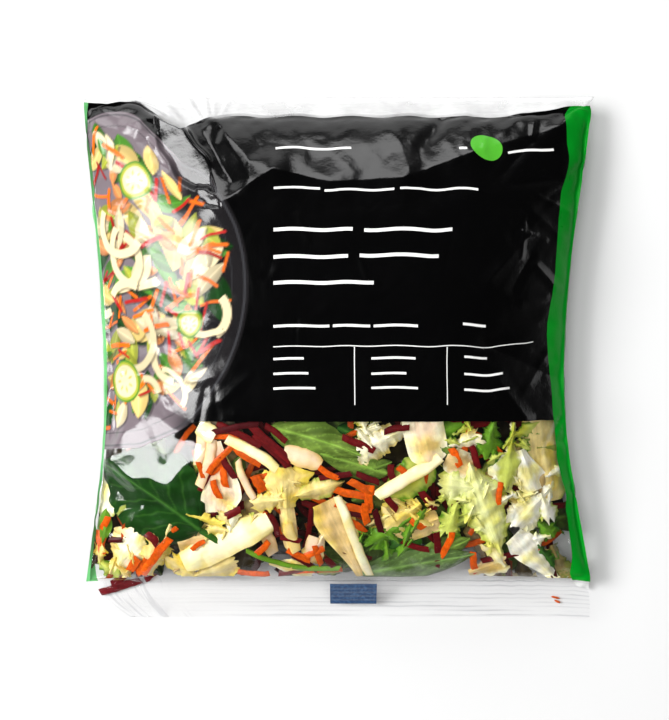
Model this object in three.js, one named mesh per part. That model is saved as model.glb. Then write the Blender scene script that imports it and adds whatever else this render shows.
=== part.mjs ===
// A sealed pillow bag of salad leaves, lying on its back with the printed side up.
// Millimetres, +Z up. X runs across the bag, Y from its bottom seal to its top seal, and the
// origin is on the table under the middle of the bag.
import * as THREE from "three";

// Driving dimensions
const BAG_WIDTH = 225;
const BAG_LENGTH = 232;
const BAG_HEIGHT = 46;
const BOTTOM_SEAL = 17;
const TOP_SEAL = 9.5;
const SEAL_THICKNESS = 1.2;

// Where the two films meet: low at the four corners, lifted between them by the filling
const CORNER_LIFT = 7;
const RIM_LIFT = 13;
const CORNER_FADE = 5;
const SEAL_EDGE_GAP = 0.8;

// How far each side pulls in as the bag fills, and where along Y it pulls in most
const LEFT_WAIST = { depth: 9.8, y: -14, reach_up: 128, reach_down: 96 };
const RIGHT_WAIST = { depth: 12.6, y: -8, reach_up: 120, reach_down: 94 };
const WAIST_SHARPNESS = 1.2;
const EDGE_WAVE = { height: 0.7, length: 23 };

// The filled top seam pulls away from the straight seal edge, but its corners don't
const TOP_SEAM_DIP = 6;
const BOTTOM_SEAM_DIP = 1.5;
const CORNER_POWER = 5;
const SCALLOP = { height: 0.9, length: 26 };
const GATHERED_CORNER = 14;

// Roundness of the filled body across and along, and how near the rim the back film lies flat
const ACROSS = { power: 3.2, root: 0.95 };
const ALONG = { power: 3, root: 0.8 };
const LYING_FROM = 0.28;

// Leaves pushing at the film from inside: bumps on a golden-angle spiral
const LUMPS = { count: 24, height: 2.2, radius: 19, spread: 0.84 };
const GOLDEN_ANGLE = Math.PI * (3 - Math.sqrt(5));

// Gathers run from each end seal into the body
const GATHERS = { count: 12, height: 1.6, width: 8, reach: 26, slant: 0.25 };

// The few large folds of the front film: straight ridges (rise > 0) and valleys (rise < 0)
const FOLDS = [
  { from: [-92, 104], to: [-50, 60], rise: 3.5, spread: 14 },
  { from: [-74, 100], to: [-42, 62], rise: -3.5, spread: 10 },
  { from: [-55, 100], to: [-35, 80], rise: 2.5, spread: 13 },
  { from: [-48, 66], to: [-24, 78], rise: 2, spread: 12 },
  { from: [62, 28], to: [86, 52], rise: 1.6, spread: 10 },
  { from: [99, -10], to: [64, 6], rise: -2.2, spread: 12 },
  { from: [-102, -14], to: [-70, -2], rise: -2.2, spread: 12 },
  { from: [68, -10], to: [84, -30], rise: 1.6, spread: 9 },
];

// Fullness at which the relief and the gathers reach their whole height
const RELIEF_FROM = 0.35;
const GATHERS_FROM = 0.2;

// Mesh fineness
const COLUMNS = 42;
const BODY_ROWS = 38;
const BOTTOM_SEAL_ROWS = 3;
const TOP_SEAL_ROWS = 2;
const EDGE_CROWDING = 0.55;

const halfWidth = BAG_WIDTH / 2;
const halfLength = BAG_LENGTH / 2;
const TAU = 2 * Math.PI;

const clamp = (x, low = 0, high = 1) => Math.min(high, Math.max(low, x));
const mix = (a, b, t) => a + (b - a) * t;
const smooth = (t) => clamp(t) ** 2 * (3 - 2 * clamp(t));
const fraction = (x) => x - Math.floor(x);

// An even spread of positions from -1 to 1, closer together towards both ends.
function crowd(t) {
  const a = 2 * t - 1;
  return mix(a, Math.sin((a * Math.PI) / 2), EDGE_CROWDING);
}

// How far a side is pulled in at this y.
function waist({ depth, y: middle, reach_up, reach_down }, y) {
  const away = (y - middle) / (y > middle ? reach_up : reach_down);
  return depth * Math.cos((clamp(away, -1, 1) * Math.PI) / 2) ** WAIST_SHARPNESS;
}

function edgeWave(y, phase) {
  const calm = 1 - Math.abs(y / halfLength) ** 4;
  return EDGE_WAVE.height * calm * Math.sin((TAU * y) / EDGE_WAVE.length + phase);
}

function leftEdge(y) {
  return -halfWidth + waist(LEFT_WAIST, y) + edgeWave(y, 1) * 0.6;
}

function rightEdge(y) {
  return halfWidth - waist(RIGHT_WAIST, y) + edgeWave(y, 4) * 0.8;
}

// The seam where the body ends and the seal band starts, for s from -1 to 1 across the bag.
function topSeam(s) {
  const slack = 1 - Math.abs(s) ** CORNER_POWER;
  const scallop = SCALLOP.height * Math.sin((TAU * s * halfWidth) / SCALLOP.length);
  return halfLength - TOP_SEAL + TOP_SEAM_DIP - slack * (TOP_SEAM_DIP + scallop);
}

function bottomSeam(s) {
  return -halfLength + BOTTOM_SEAL + BOTTOM_SEAM_DIP * (1 - Math.abs(s) ** CORNER_POWER);
}

// 0 at the rim of the body and 1 at its middle; w runs from -1 at the bottom seam to 1 at the top.
function fullness(s, w) {
  const across = (1 - Math.abs(s) ** ACROSS.power) ** ACROSS.root;
  const along = (1 - Math.abs(w) ** ALONG.power) ** ALONG.root;
  return across * along;
}

// Height of the line where the films meet.
function rimHeight(s, w) {
  return mix(RIM_LIFT, CORNER_LIFT, Math.abs(s * w) ** CORNER_FADE);
}

function lumps(x, y) {
  let z = 0;
  for (let i = 0; i < LUMPS.count; i++) {
    const out = LUMPS.spread * Math.sqrt((i + 0.5) / LUMPS.count);
    const turn = i * GOLDEN_ANGLE;
    const away = Math.hypot(x - halfWidth * out * Math.cos(turn), y - halfLength * out * Math.sin(turn));
    const size = LUMPS.radius * (0.75 + 0.5 * fraction(i * 0.618));
    z += LUMPS.height * (fraction(i * 0.414) - 0.35) * Math.exp(-((away / size) ** 2));
  }
  return z;
}

// A ridge with flat sides along the line between two points.
function fold(x, y, { from, to, rise, spread }) {
  const run = [to[0] - from[0], to[1] - from[1]];
  const along = ((x - from[0]) * run[0] + (y - from[1]) * run[1]) / (run[0] ** 2 + run[1] ** 2);
  const t = clamp(along);
  const away = Math.hypot(x - from[0] - t * run[0], y - from[1] - t * run[1]);
  return rise * Math.max(0, 1 - away / spread);
}

// Gathers at one seam: away is the distance from that seam into the body.
function gathers(x, away, seed) {
  let z = 0;
  for (let i = 0; i < GATHERS.count; i++) {
    const size = 0.5 + fraction(i * 0.377 + seed);
    const slant = GATHERS.slant * (2 * fraction(i * 0.731 + seed) - 1);
    const start = halfWidth * 0.9 * ((2 * (i + 0.5)) / GATHERS.count - 1);
    const line = start + 5 * Math.sin(i * 2.4 + seed) + slant * away;
    const tent = Math.max(0, 1 - Math.abs(x - line) / (GATHERS.width * size));
    z += GATHERS.height * size * tent * (1 - smooth(away / (GATHERS.reach * size)));
  }
  return z;
}

// Heights of the front film and the back film over one point of the body.
function bodyHeights(x, y, s, w) {
  const d = fullness(s, w);
  const rim = rimHeight(s, w);
  const full = mix(rim, BAG_HEIGHT, d);
  let relief = lumps(x, y);
  for (const f of FOLDS) {
    relief += fold(x, y, f);
  }
  const gathered = gathers(x, topSeam(s) - y, 0.2) + gathers(x, y - bottomSeam(s), 0.6);
  const front = full + relief * smooth(d / RELIEF_FROM) + gathered * smooth(d / GATHERS_FROM);
  const back = rim * (1 - smooth(d / LYING_FROM));
  return [Math.max(front, back + SEAL_THICKNESS), back];
}

// A seal band droops from its seam to the table; t runs from 0 at the seam to 1 at its cut edge.
function sealHeights(s, t) {
  const back = mix(rimHeight(s, 1), SEAL_EDGE_GAP, smooth(t));
  return [back + SEAL_THICKNESS, back];
}

// One row of the bag: where it lies along the bag, and how it is made.
function makeRows() {
  const rows = [];
  for (let i = 0; i < BOTTOM_SEAL_ROWS; i++) {
    rows.push({ part: "bottom", t: 1 - i / BOTTOM_SEAL_ROWS });
  }
  for (let i = 0; i <= BODY_ROWS; i++) {
    rows.push({ part: "body", w: crowd(i / BODY_ROWS) });
  }
  for (let i = 1; i <= TOP_SEAL_ROWS; i++) {
    rows.push({ part: "top", t: i / TOP_SEAL_ROWS });
  }
  return rows;
}

// The front and back point of one place in the grid.
function gridPoint(row, s) {
  if (row.part === "body") {
    const y = mix(bottomSeam(s), topSeam(s), (row.w + 1) / 2);
    const x = mix(leftEdge(y), rightEdge(y), (s + 1) / 2);
    const [front, back] = bodyHeights(x, y, s, row.w);
    return [new THREE.Vector3(x, y, front), new THREE.Vector3(x, y, back)];
  }
  const top = row.part === "top";
  const y = top ? mix(topSeam(s), halfLength, row.t) : mix(bottomSeam(s), -halfLength, row.t);
  const tuck = top ? 0 : GATHERED_CORNER * row.t ** 1.4;
  const x = mix(leftEdge(y) + tuck, rightEdge(y), (s + 1) / 2);
  const [front, back] = sealHeights(s, row.t);
  return [new THREE.Vector3(x, y, front), new THREE.Vector3(x, y, back)];
}

// Front and back grids joined by a narrow rim all the way round.
function bagGeometry() {
  const rows = makeRows();
  const wide = COLUMNS + 1;
  const high = rows.length;
  const front = [];
  const back = [];
  for (const row of rows) {
    for (let i = 0; i < wide; i++) {
      const [a, b] = gridPoint(row, crowd(i / COLUMNS));
      front.push(a);
      back.push(b);
    }
  }
  const count = wide * high;
  const index = [];
  const quad = (a, b, c, d) => index.push(a, b, c, a, c, d);
  for (let j = 0; j < high - 1; j++) {
    for (let i = 0; i < COLUMNS; i++) {
      const k = j * wide + i;
      quad(k, k + 1, k + wide + 1, k + wide);
      quad(count + k, count + k + wide, count + k + wide + 1, count + k + 1);
    }
  }
  const rim = [];
  for (let i = 0; i < COLUMNS; i++) rim.push(i);
  for (let j = 0; j < high - 1; j++) rim.push(j * wide + COLUMNS);
  for (let i = COLUMNS; i > 0; i--) rim.push((high - 1) * wide + i);
  for (let j = high - 1; j > 0; j--) rim.push(j * wide);
  rim.forEach((a, n) => {
    const b = rim[(n + 1) % rim.length];
    quad(count + a, count + b, b, a);
  });
  const geometry = new THREE.BufferGeometry().setFromPoints([...front, ...back]);
  geometry.setIndex(index);
  geometry.computeVertexNormals();
  return geometry;
}

const printedFilm = new THREE.MeshStandardMaterial({
  color: new THREE.Color(0.03, 0.03, 0.033),
  roughness: 0.32,
  metalness: 0,
});

const bag = new THREE.Mesh(bagGeometry(), printedFilm);
bag.name = "salad_bag";

const part = new THREE.Group();
part.add(bag);

export default part;
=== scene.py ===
"""The looks of a sealed pillow bag of salad leaves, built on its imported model.

The film is simulated from its flat size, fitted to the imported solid, folded and printed. The leaves
and shreds are real meshes laid under it. Lengths are in millimetres until a mesh is made, and the
frame is the model's: +X across the bag, +Y from its bottom seal to its top seal, +Z up.
"""

import math

import bpy
import numpy as np
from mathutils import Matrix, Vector
from mathutils.bvhtree import BVHTree


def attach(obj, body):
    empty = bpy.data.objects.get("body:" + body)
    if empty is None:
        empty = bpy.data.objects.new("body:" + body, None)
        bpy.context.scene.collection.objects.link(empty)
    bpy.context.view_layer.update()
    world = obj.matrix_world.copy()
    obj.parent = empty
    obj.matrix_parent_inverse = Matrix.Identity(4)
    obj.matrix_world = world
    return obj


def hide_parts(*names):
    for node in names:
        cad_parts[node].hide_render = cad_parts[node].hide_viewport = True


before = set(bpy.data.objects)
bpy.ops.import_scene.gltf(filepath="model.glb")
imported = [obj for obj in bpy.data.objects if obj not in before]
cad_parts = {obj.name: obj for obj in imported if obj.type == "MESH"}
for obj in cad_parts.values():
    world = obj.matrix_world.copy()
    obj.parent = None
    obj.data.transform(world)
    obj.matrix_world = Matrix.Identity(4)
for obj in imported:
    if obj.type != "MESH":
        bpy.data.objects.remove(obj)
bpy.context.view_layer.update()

MM = 0.001
TAU = 2 * math.pi

# The flat film and its seals
FLAT_WIDTH = 225
FLAT_BODY = 220
BOTTOM_SEAL = 17
TOP_SEAL = 9.5
HALF_WIDTH = FLAT_WIDTH / 2
HALF_BODY = FLAT_BODY / 2

# The outline of the filled bag, as in the solid
HALF_LENGTH = 116
LEFT_WAIST = {"depth": 9.8, "middle": -14, "reach_up": 128, "reach_down": 96}
RIGHT_WAIST = {"depth": 12.6, "middle": -8, "reach_up": 120, "reach_down": 94}
TOP_SEAM = 106.5
TOP_SEAM_LEFT = {"lift": 6.9, "ends": -0.80, "fades": 0.13}
TOP_SEAM_NOTCH = {"depth": 6.0, "middle": -0.614, "half_width": 0.10}
TOP_SEAM_RIGHT = {"lift": 4.9, "starts": 0.62, "grows": 0.33}
TOP_SEAM_WAVE = {"height": 0.45, "count": 4.5}
BOTTOM_SEAM_DIP = 1.5
WAIST_SHARPNESS = 1.2
CORNER_POWER = 5
GATHERED_CORNER = 19

# Fields of the print, as they lie on the filled bag
LEFT_GREEN = 2.4
RIGHT_GREEN = 11
WINDOW_TOP = -27.4
DISH = {"u": -110, "y": 30, "radius": 74}

# Fineness of the simulated film and of the finished one
SIM_STEP = 3
SIM_FRAMES = 60
FINE_STEP = 0.62

# The room in the filled bag, in cubic metres, and the thickness of its leaves
FILLED_VOLUME = 0.00125
LEAF_THICKNESS = 0.45
THIN_LEAF = 0.4

# Linear colours
BLACK = (0.0010, 0.0010, 0.0011)
GREEN = (0.001, 0.215, 0.012)
# This green is the same film as GREEN, painted paler for the left strips: painted light where the key lamp
# falls on the bag's left side.
GREEN_PAINTED_LIGHTER = (0.10, 0.34, 0.12)
WHITE = (0.86, 0.86, 0.84)
DISC_GREEN = (0.08, 0.42, 0.03)


# Small maths


def clamp(x, low=0.0, high=1.0):
    return np.clip(x, low, high)


def mix(a, b, t):
    return a + (b - a) * t


def smooth(t):
    t = clamp(t)
    return t * t * (3 - 2 * t)


def tent(x):
    return np.maximum(0.0, 1 - np.abs(x))


def turned(x, y, angle):
    """Distances along and across a direction."""
    return x * math.cos(angle) + y * math.sin(angle), y * math.cos(angle) - x * math.sin(angle)


def blur(values, cells, axis):
    """A Gaussian average over a number of cells, with the ends held."""
    reach = max(1, math.ceil(3 * cells))
    kernel = np.exp(-0.5 * (np.arange(-reach, reach + 1) / cells) ** 2)
    kernel /= kernel.sum()
    moved = np.moveaxis(values, axis, 0)
    padded = np.concatenate([np.repeat(moved[:1], reach, 0), moved, np.repeat(moved[-1:], reach, 0)])
    result = sum(weight * padded[i : i + len(moved)] for i, weight in enumerate(kernel))
    return np.moveaxis(result, 0, axis)


def blur_grid(values, cells):
    return blur(blur(values, cells, 0), cells, 1)


def cubic_taps(at, count):
    """The four neighbours of each fractional place in a row of points, with Catmull-Rom weights."""
    base = np.clip(np.floor(at).astype(int), 0, count - 2)
    t = at - base
    weights = (
        -0.5 * t + t**2 - 0.5 * t**3,
        1 - 2.5 * t**2 + 1.5 * t**3,
        0.5 * t + 2 * t**2 - 1.5 * t**3,
        -0.5 * t**2 + 0.5 * t**3,
    )
    return [(np.clip(base + k - 1, 0, count - 1), weight) for k, weight in enumerate(weights)]


def sample(grid, row, column):
    """Points between the points of a grid, on a smooth surface through them."""
    result = 0
    for r, row_weight in cubic_taps(row, grid.shape[0]):
        for c, column_weight in cubic_taps(column, grid.shape[1]):
            result = result + grid[r, c] * (row_weight * column_weight)[..., None]
    return result


# The outline that the filled film keeps to


def waist(side, y):
    reach = np.where(y > side["middle"], side["reach_up"], side["reach_down"])
    away = clamp((y - side["middle"]) / reach, -1, 1)
    return side["depth"] * np.cos(away * math.pi / 2) ** WAIST_SHARPNESS


def left_edge(y):
    return -HALF_WIDTH + waist(LEFT_WAIST, y)


def right_edge(y):
    return HALF_WIDTH - waist(RIGHT_WAIST, y)


def top_seam(s):
    """The upper border of the print: high at the left corner, notched beside it, rising to the right."""
    left, notch, right = TOP_SEAM_LEFT, TOP_SEAM_NOTCH, TOP_SEAM_RIGHT
    high_left = left["lift"] * (1 - smooth((s - left["ends"]) / left["fades"]))
    pulled_in = notch["depth"] * tent((s - notch["middle"]) / notch["half_width"])
    high_right = right["lift"] * smooth((s - right["starts"]) / right["grows"])
    wave = TOP_SEAM_WAVE["height"] * np.sin(TAU * s * TOP_SEAM_WAVE["count"])
    return TOP_SEAM + high_left - pulled_in + high_right + wave


def bottom_seam(s):
    return -HALF_LENGTH + BOTTOM_SEAL + BOTTOM_SEAM_DIP * (1 - np.abs(s) ** CORNER_POWER)


def outline_place(s, w):
    """Top view of a body point: s runs from side to side and w from seam to seam, both -1 to 1."""
    y = mix(bottom_seam(s), top_seam(s), (w + 1) / 2)
    return mix(left_edge(y), right_edge(y), (s + 1) / 2), y


def seal_place(s, t, top):
    """Top view of a seal point: t runs from 0 at the seam to 1 at the cut edge."""
    seam, end = (top_seam(s), HALF_LENGTH) if top else (bottom_seam(s), -HALF_LENGTH)
    y = mix(seam, end, t)
    across = (s + 1) / 2
    tuck = 0 if top else GATHERED_CORNER * clamp(t) ** 1.4 * (1 - clamp(across)) ** 4
    return mix(left_edge(y), right_edge(y), across) + tuck, y


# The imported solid, as something to measure heights on


class Heights:
    """Top or bottom heights of a mesh over the table, kept on a grid."""

    STEP = 1.5
    REACH = (120, 124)
    FAR = 200

    def __init__(self, points, faces, top):
        tree = BVHTree.FromPolygons([tuple(p) for p in points], [tuple(f) for f in faces])
        self.count_x, self.count_y = (int(2 * reach / self.STEP) + 1 for reach in self.REACH)
        start, way = (self.FAR, -1) if top else (-self.FAR, 1)
        rows = []
        for j in range(self.count_y):
            for i in range(self.count_x):
                origin = (i * self.STEP - self.REACH[0], j * self.STEP - self.REACH[1], start)
                hit = tree.ray_cast(Vector(origin), Vector((0, 0, way)))[0]
                rows.append(hit.z if hit else math.nan)
        self.z = self.fill(np.array(rows).reshape(self.count_y, self.count_x))

    @staticmethod
    def fill(z):
        """Carries the heights of the rim outwards over the empty cells."""
        while np.isnan(z).any():
            padded = np.pad(z, 1, constant_values=math.nan)
            around = np.stack([padded[:-2, 1:-1], padded[2:, 1:-1], padded[1:-1, :-2], padded[1:-1, 2:]])
            known = ~np.isnan(around)
            total = np.where(known, around, 0).sum(0)
            count = known.sum(0)
            z = np.where(np.isnan(z) & (count > 0), total / np.maximum(count, 1), z)
        return z

    def at(self, x, y):
        column = clamp((x + self.REACH[0]) / self.STEP, 0, self.count_x - 1.001)
        row = clamp((y + self.REACH[1]) / self.STEP, 0, self.count_y - 1.001)
        i, j = np.floor(column).astype(int), np.floor(row).astype(int)
        a, b = column - i, row - j
        low = mix(self.z[j, i], self.z[j, i + 1], a)
        high = mix(self.z[j + 1, i], self.z[j + 1, i + 1], a)
        return mix(low, high, b)


def solid_heights():
    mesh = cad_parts["salad_bag"].data
    points = np.array([v.co for v in mesh.vertices]) / MM
    faces = [tuple(p.vertices) for p in mesh.polygons]
    return Heights(points, faces, True), Heights(points, faces, False)


# The film as a cloth: two flat sheets joined round their rim, with the end seals as single sheets


def film_indices():
    """Point numbers of the film's four grids: front, back, bottom seal and top seal."""
    columns = round(FLAT_WIDTH / SIM_STEP) + 1
    rows = round(FLAT_BODY / SIM_STEP) + 1
    front = np.arange(rows * columns).reshape(rows, columns)
    back = front.copy()
    inner = (rows - 2) * (columns - 2)
    count = front.size
    back[1:-1, 1:-1] = count + np.arange(inner).reshape(rows - 2, columns - 2)
    count += inner
    seals = []
    for seam, depth in ((front[0], BOTTOM_SEAL), (front[-1], TOP_SEAL)):
        added = max(2, round(depth / SIM_STEP))
        band = count + np.arange(added * columns).reshape(added, columns)
        seals.append(np.vstack([seam, band]))
        count += band.size
    return front, back, seals[0], seals[1], count


def quads(index):
    corners = [index[:-1, :-1], index[:-1, 1:], index[1:, 1:], index[1:, :-1]]
    return np.stack(corners, -1).reshape(-1, 4)


# How the cloth starts: slightly open already, over the table
START = {"front": 12, "back": -6, "lift": 16, "narrowed": 0.05, "jitter": 0.2}
CLOTH = {
    "quality": 8,
    "mass": 0.3,
    "tension_stiffness": 60,
    "compression_stiffness": 60,
    "shear_stiffness": 30,
    "bending_stiffness": 2,
    "tension_damping": 10,
    "compression_damping": 10,
    "shear_damping": 10,
    "bending_damping": 1,
    "air_damping": 4,
    "use_pressure": True,
    "uniform_pressure_force": 6.5,
    "use_pressure_volume": True,
    "pressure_factor": 1,
    "vertex_group_pressure": "filled",
}
CLOTH_SCALE = 0.01
CLOTH_GAP = 0.004


def film_starts(front, back, bottom, top, count):
    """Where each film point lies when flat, and where the cloth starts."""
    flat = np.zeros((count, 3))
    u = np.linspace(-HALF_WIDTH, HALF_WIDTH, front.shape[1])
    v = np.linspace(-HALF_BODY, HALF_BODY, front.shape[0])
    across, along = np.meshgrid(u, v)
    flat[front] = np.stack([across, along, 0 * across], -1)
    flat[back] = flat[front]
    for grid, start, depth in ((bottom, -HALF_BODY, -BOTTOM_SEAL), (top, HALF_BODY, TOP_SEAL)):
        for k in range(1, len(grid)):
            y = start + depth * k / (len(grid) - 1)
            flat[grid[k]] = np.stack([u, 0 * u + y, 0 * u], -1)
    s, w = across / HALF_WIDTH, along / HALF_BODY
    lens = ((1 - np.abs(s) ** 2.2) * (1 - np.abs(w) ** 2.2)) ** 0.8
    opened = flat.copy()
    opened[back, 2] = START["back"] * lens
    opened[front, 2] = START["front"] * lens
    opened[front, 0] = across * (1 - START["narrowed"] * (1 - w * w))
    opened[back, 0] = opened[front, 0]
    opened[:, 2] += START["lift"] + np.random.default_rng(4).normal(0, START["jitter"], count)
    return flat, opened


def simulate(volume):
    """Fills the film with pressure over a table and returns its four grids of points."""
    front, back, bottom, top, count = film_indices()
    flat, opened = film_starts(front, back, bottom, top, count)
    body_faces = np.vstack([quads(front), quads(back)[:, ::-1]])
    faces = np.vstack([body_faces, quads(bottom)[:, ::-1], quads(top)])
    film = new_object("film_cloth", (opened * CLOTH_SCALE).tolist(), faces.tolist())
    film.shape_key_add(name="Basis")
    rest = film.shape_key_add(name="flat")
    rest.data.foreach_set("co", (flat * CLOTH_SCALE).astype(np.float32).ravel())
    rest.value = 0

    table = new_object("cloth_table", *square(4))
    table.modifiers.new("collision", "COLLISION")
    table.collision.thickness_outer = CLOTH_GAP
    table.collision.cloth_friction = 4

    group = film.vertex_groups.new(name="filled")
    group.add(np.unique(body_faces).tolist(), 1.0, "REPLACE")
    cloth = film.modifiers.new("cloth", "CLOTH")
    cloth.settings.rest_shape_key = rest
    for name, value in CLOTH.items():
        setattr(cloth.settings, name, value)
    cloth.settings.target_volume = volume * (CLOTH_SCALE / MM) ** 3
    cloth.collision_settings.distance_min = CLOTH_GAP
    cloth.collision_settings.use_self_collision = False
    cloth.point_cache.frame_start = 1
    cloth.point_cache.frame_end = SIM_FRAMES
    for number in range(1, SIM_FRAMES + 1):
        bpy.context.scene.frame_set(number)
    settled = film.evaluated_get(bpy.context.evaluated_depsgraph_get()).data
    points = np.array([v.co for v in settled.vertices]) / CLOTH_SCALE
    bpy.context.scene.frame_set(1)
    bpy.data.objects.remove(film)
    bpy.data.objects.remove(table)
    return points[front], points[back], points[bottom], points[top]


# The four edges of a grid of points
RIM_LINES = ((0, slice(None)), (-1, slice(None)), (slice(None), 0), (slice(None), -1))


# How far the simulated film is smoothed before it is fitted, in its own cells
SMOOTHED = {"film": 0.65, "rim": 0.8, "heights": 2.5}


def fit_to_solid(grids, above, below):
    """Moves the simulated film onto the solid's outline and heights, and keeps its wrinkles."""
    front, back, bottom, top = (blur_grid(grid, SMOOTHED["film"]) for grid in grids)
    left, right = (blur(front[:, i, 0], SMOOTHED["rim"], 0) for i in (0, -1))
    low, high = (blur(front[j, :, 1], SMOOTHED["rim"], 0) for j in (0, -1))
    for grid, heights in ((front, above), (back, below)):
        s = 2 * (grid[..., 0] - left[:, None]) / (right - left)[:, None] - 1
        w = 2 * (grid[..., 1] - low[None]) / (high - low)[None] - 1
        x, y = outline_place(clamp(s, -1.02, 1.02), clamp(w, -1.02, 1.02))
        target = heights.at(clamp(x, left_edge(y) + 1, right_edge(y) - 1), y)
        z = grid[..., 2] + blur_grid(target - grid[..., 2], SMOOTHED["heights"])
        grid[...] = np.stack([x, y, z], -1)
    back[..., 2] = np.maximum(back[..., 2], 0.5)
    front[..., 2] = np.maximum(front[..., 2], back[..., 2] + 0.3)
    for line in RIM_LINES:
        back[line] = front[line]
    for band, seam, is_top in ((bottom, front[0], False), (top, front[-1], True)):
        row = -1 if is_top else 0
        s = 2 * (band[..., 0] - left[row]) / (right[row] - left[row]) - 1
        t = np.linspace(0, 1, len(band))[:, None] + 0 * s
        x, y = seal_place(clamp(s, -1.02, 1.02), t, is_top)
        shift = (seam - np.stack([x[0], y[0], band[0, :, 2]], -1))[None]
        moved = np.stack([x, y, band[..., 2]], -1) + shift * (1 - smooth(t))[..., None]
        moved[..., 2] = np.maximum(moved[..., 2], 0.4)
        band[...] = moved
    return front, back, bottom, top


# Folds of the front film, as they lie on the filled bag: start x, y, end x, y, rise (below 0 in a
# valley) and spread
FOLDS = [
    (-60, 101, -46, 76, -2.4, 8),
    (-84, 96, -77, 84, -1.6, 5),
    (-92, 103, -77, 107, 1.8, 5),
    (-92, 103, -79, 96, 1.5, 5),
    (-111, 112, -91, 104, -1.8, 6),
    (-54, 105, -38, 85, 2.0, 8),
    (-50, 67, -28, 82, 2.0, 11),
    (-28, 82, -3, 76, 1.7, 12),
    (-3, 76, 28, 78, 1.7, 12),
    (28, 78, 59, 90, 1.5, 12),
    (59, 90, 98, 102, 0.9, 9),
    (66, 34, 84, 54, 1.4, 5),
    (76, 30, 84, 44, -1.2, 4),
    (87, 40, 96, 31, 1.2, 3.5),
    (99, -10, 64, 6, -1.6, 8),
    (-102, -14, -82, -6, -1.6, 8),
    (-101, 34, -97, -40, -1.5, 3.5),
    (70, -10, 82, -26, 1.3, 5),
    (95, -36, 108, -37, -1.4, 3),
]
# Parts of the front film stretched flat between folds: pointed ovals, with their slope along X and Y
FACETS = [
    {"middle": (-66.5, 88.5), "turn": -55.8, "length": 44, "width": 13, "slope": (0.42, -0.07), "fade": 2.5},
    {"middle": (-56, 69.5), "turn": -40, "length": 12, "width": 5, "slope": (0.41, -0.06), "fade": 2},
    {"middle": (-80, -41), "turn": 10, "length": 40, "width": 26, "slope": (0.41, -0.05), "fade": 8},
]
# Small random creases, and the ranges that hold their middles
CRINKLES = {"count": 140, "rise": 0.34, "spread": 3.4, "length": 18, "x": (-104, 104), "y": (-97, 104)}


def fold_height(x, y, fold):
    x0, y0, x1, y1, rise, spread = fold
    run_x, run_y = x1 - x0, y1 - y0
    along = clamp(((x - x0) * run_x + (y - y0) * run_y) / (run_x**2 + run_y**2))
    away = np.hypot(x - x0 - along * run_x, y - y0 - along * run_y) / spread
    return rise * tent(away) ** 1.3


def facet_share(x, y, facet):
    """1 inside a facet's pointed oval with its uneven sides, falling to 0 round it."""
    turn = math.radians(facet["turn"])
    along, across = turned(x - facet["middle"][0], y - facet["middle"][1], turn)
    along = 2 * along / facet["length"]
    half = facet["width"] / 2 * np.maximum(0, 1 - along**2) * (1 + 0.14 * np.sin(7 * along + turn))
    beyond = np.maximum(0, np.abs(along) - 1) * facet["length"] / 2
    away = np.hypot(np.maximum(0, np.abs(across) - half), beyond)
    return 1 - smooth(away / facet["fade"])


def random_crinkles():
    """Short sharp creases: they point inwards near the rim, and any way in the middle."""
    rng = np.random.default_rng(11)
    reach = CRINKLES["x"][1]
    creases = []
    for _ in range(CRINKLES["count"]):
        x, y = rng.uniform(*CRINKLES["x"]), rng.uniform(*CRINKLES["y"])
        inwards = 0 if abs(x) > abs(y) else math.pi / 2
        near_rim = max(abs(x), abs(y)) / reach
        angle = inwards + rng.normal(0, 0.5 if near_rim > 0.8 else 1.6)
        length = CRINKLES["length"] * rng.uniform(0.4, 1.2)
        rise = CRINKLES["rise"] * rng.uniform(0.4, 1.5) * rng.choice((-1, 1))
        rise *= mix(0.7, 1.5, near_rim**3) * (1.8 if y < WINDOW_TOP else 1)
        dx, dy = 0.5 * length * math.cos(angle), 0.5 * length * math.sin(angle)
        spread = CRINKLES["spread"] * rng.uniform(0.5, 1.3)
        creases.append((x - dx, y - dy, x + dx, y + dy, rise, spread))
    return creases


class Film:
    """The finished film: gives the point of the filled bag for any place on the flat film."""

    CALM_SIDES = 6
    CALM_ENDS = 4
    FACET_STIFFNESS = 0.65
    SEARCH_STEPS = 12

    def __init__(self, grids):
        self.front, self.back, self.bottom, self.top = grids
        self.creases = FOLDS + random_crinkles()
        self.facet_heights = [self.height_over(*facet["middle"]) for facet in FACETS]

    def place(self, grid, u, v):
        row = (v + HALF_BODY) / FLAT_BODY * (grid.shape[0] - 1)
        column = (u + HALF_WIDTH) / FLAT_WIDTH * (grid.shape[1] - 1)
        return sample(grid, row, column)

    def front_at(self, u, v):
        points = self.place(self.front, u, v)
        x, y = points[..., 0], points[..., 1]
        loose = smooth((HALF_WIDTH - np.abs(u)) / self.CALM_SIDES)
        loose = loose * smooth((HALF_BODY - np.abs(v)) / self.CALM_ENDS)
        inside = loose
        for facet, middle_z in zip(FACETS, self.facet_heights):
            (x0, y0), (slope_x, slope_y) = facet["middle"], facet["slope"]
            plane = middle_z + slope_x * (x - x0) + slope_y * (y - y0)
            share = facet_share(x, y, facet)
            points[..., 2] = mix(points[..., 2], plane, inside * share)
            loose = loose * (1 - self.FACET_STIFFNESS * share)
        for crease in self.creases:
            points[..., 2] += loose * fold_height(x, y, crease)
        return points

    def back_at(self, u, v):
        return self.place(self.back, u, v)

    def flat_of(self, x, y):
        """The place on the flat film that lies over one point of the table."""
        u, v = float(x), float(y)
        for _ in range(self.SEARCH_STEPS):
            point = self.place(self.front, np.array([u]), np.array([v]))[0]
            u = clamp(u + x - point[0], -HALF_WIDTH, HALF_WIDTH)
            v = clamp(v + y - point[1], -HALF_BODY, HALF_BODY)
        return u, v

    def height_over(self, x, y):
        u, v = self.flat_of(x, y)
        return self.place(self.front, np.array([u]), np.array([v]))[0, 2]


# Meshes


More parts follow.
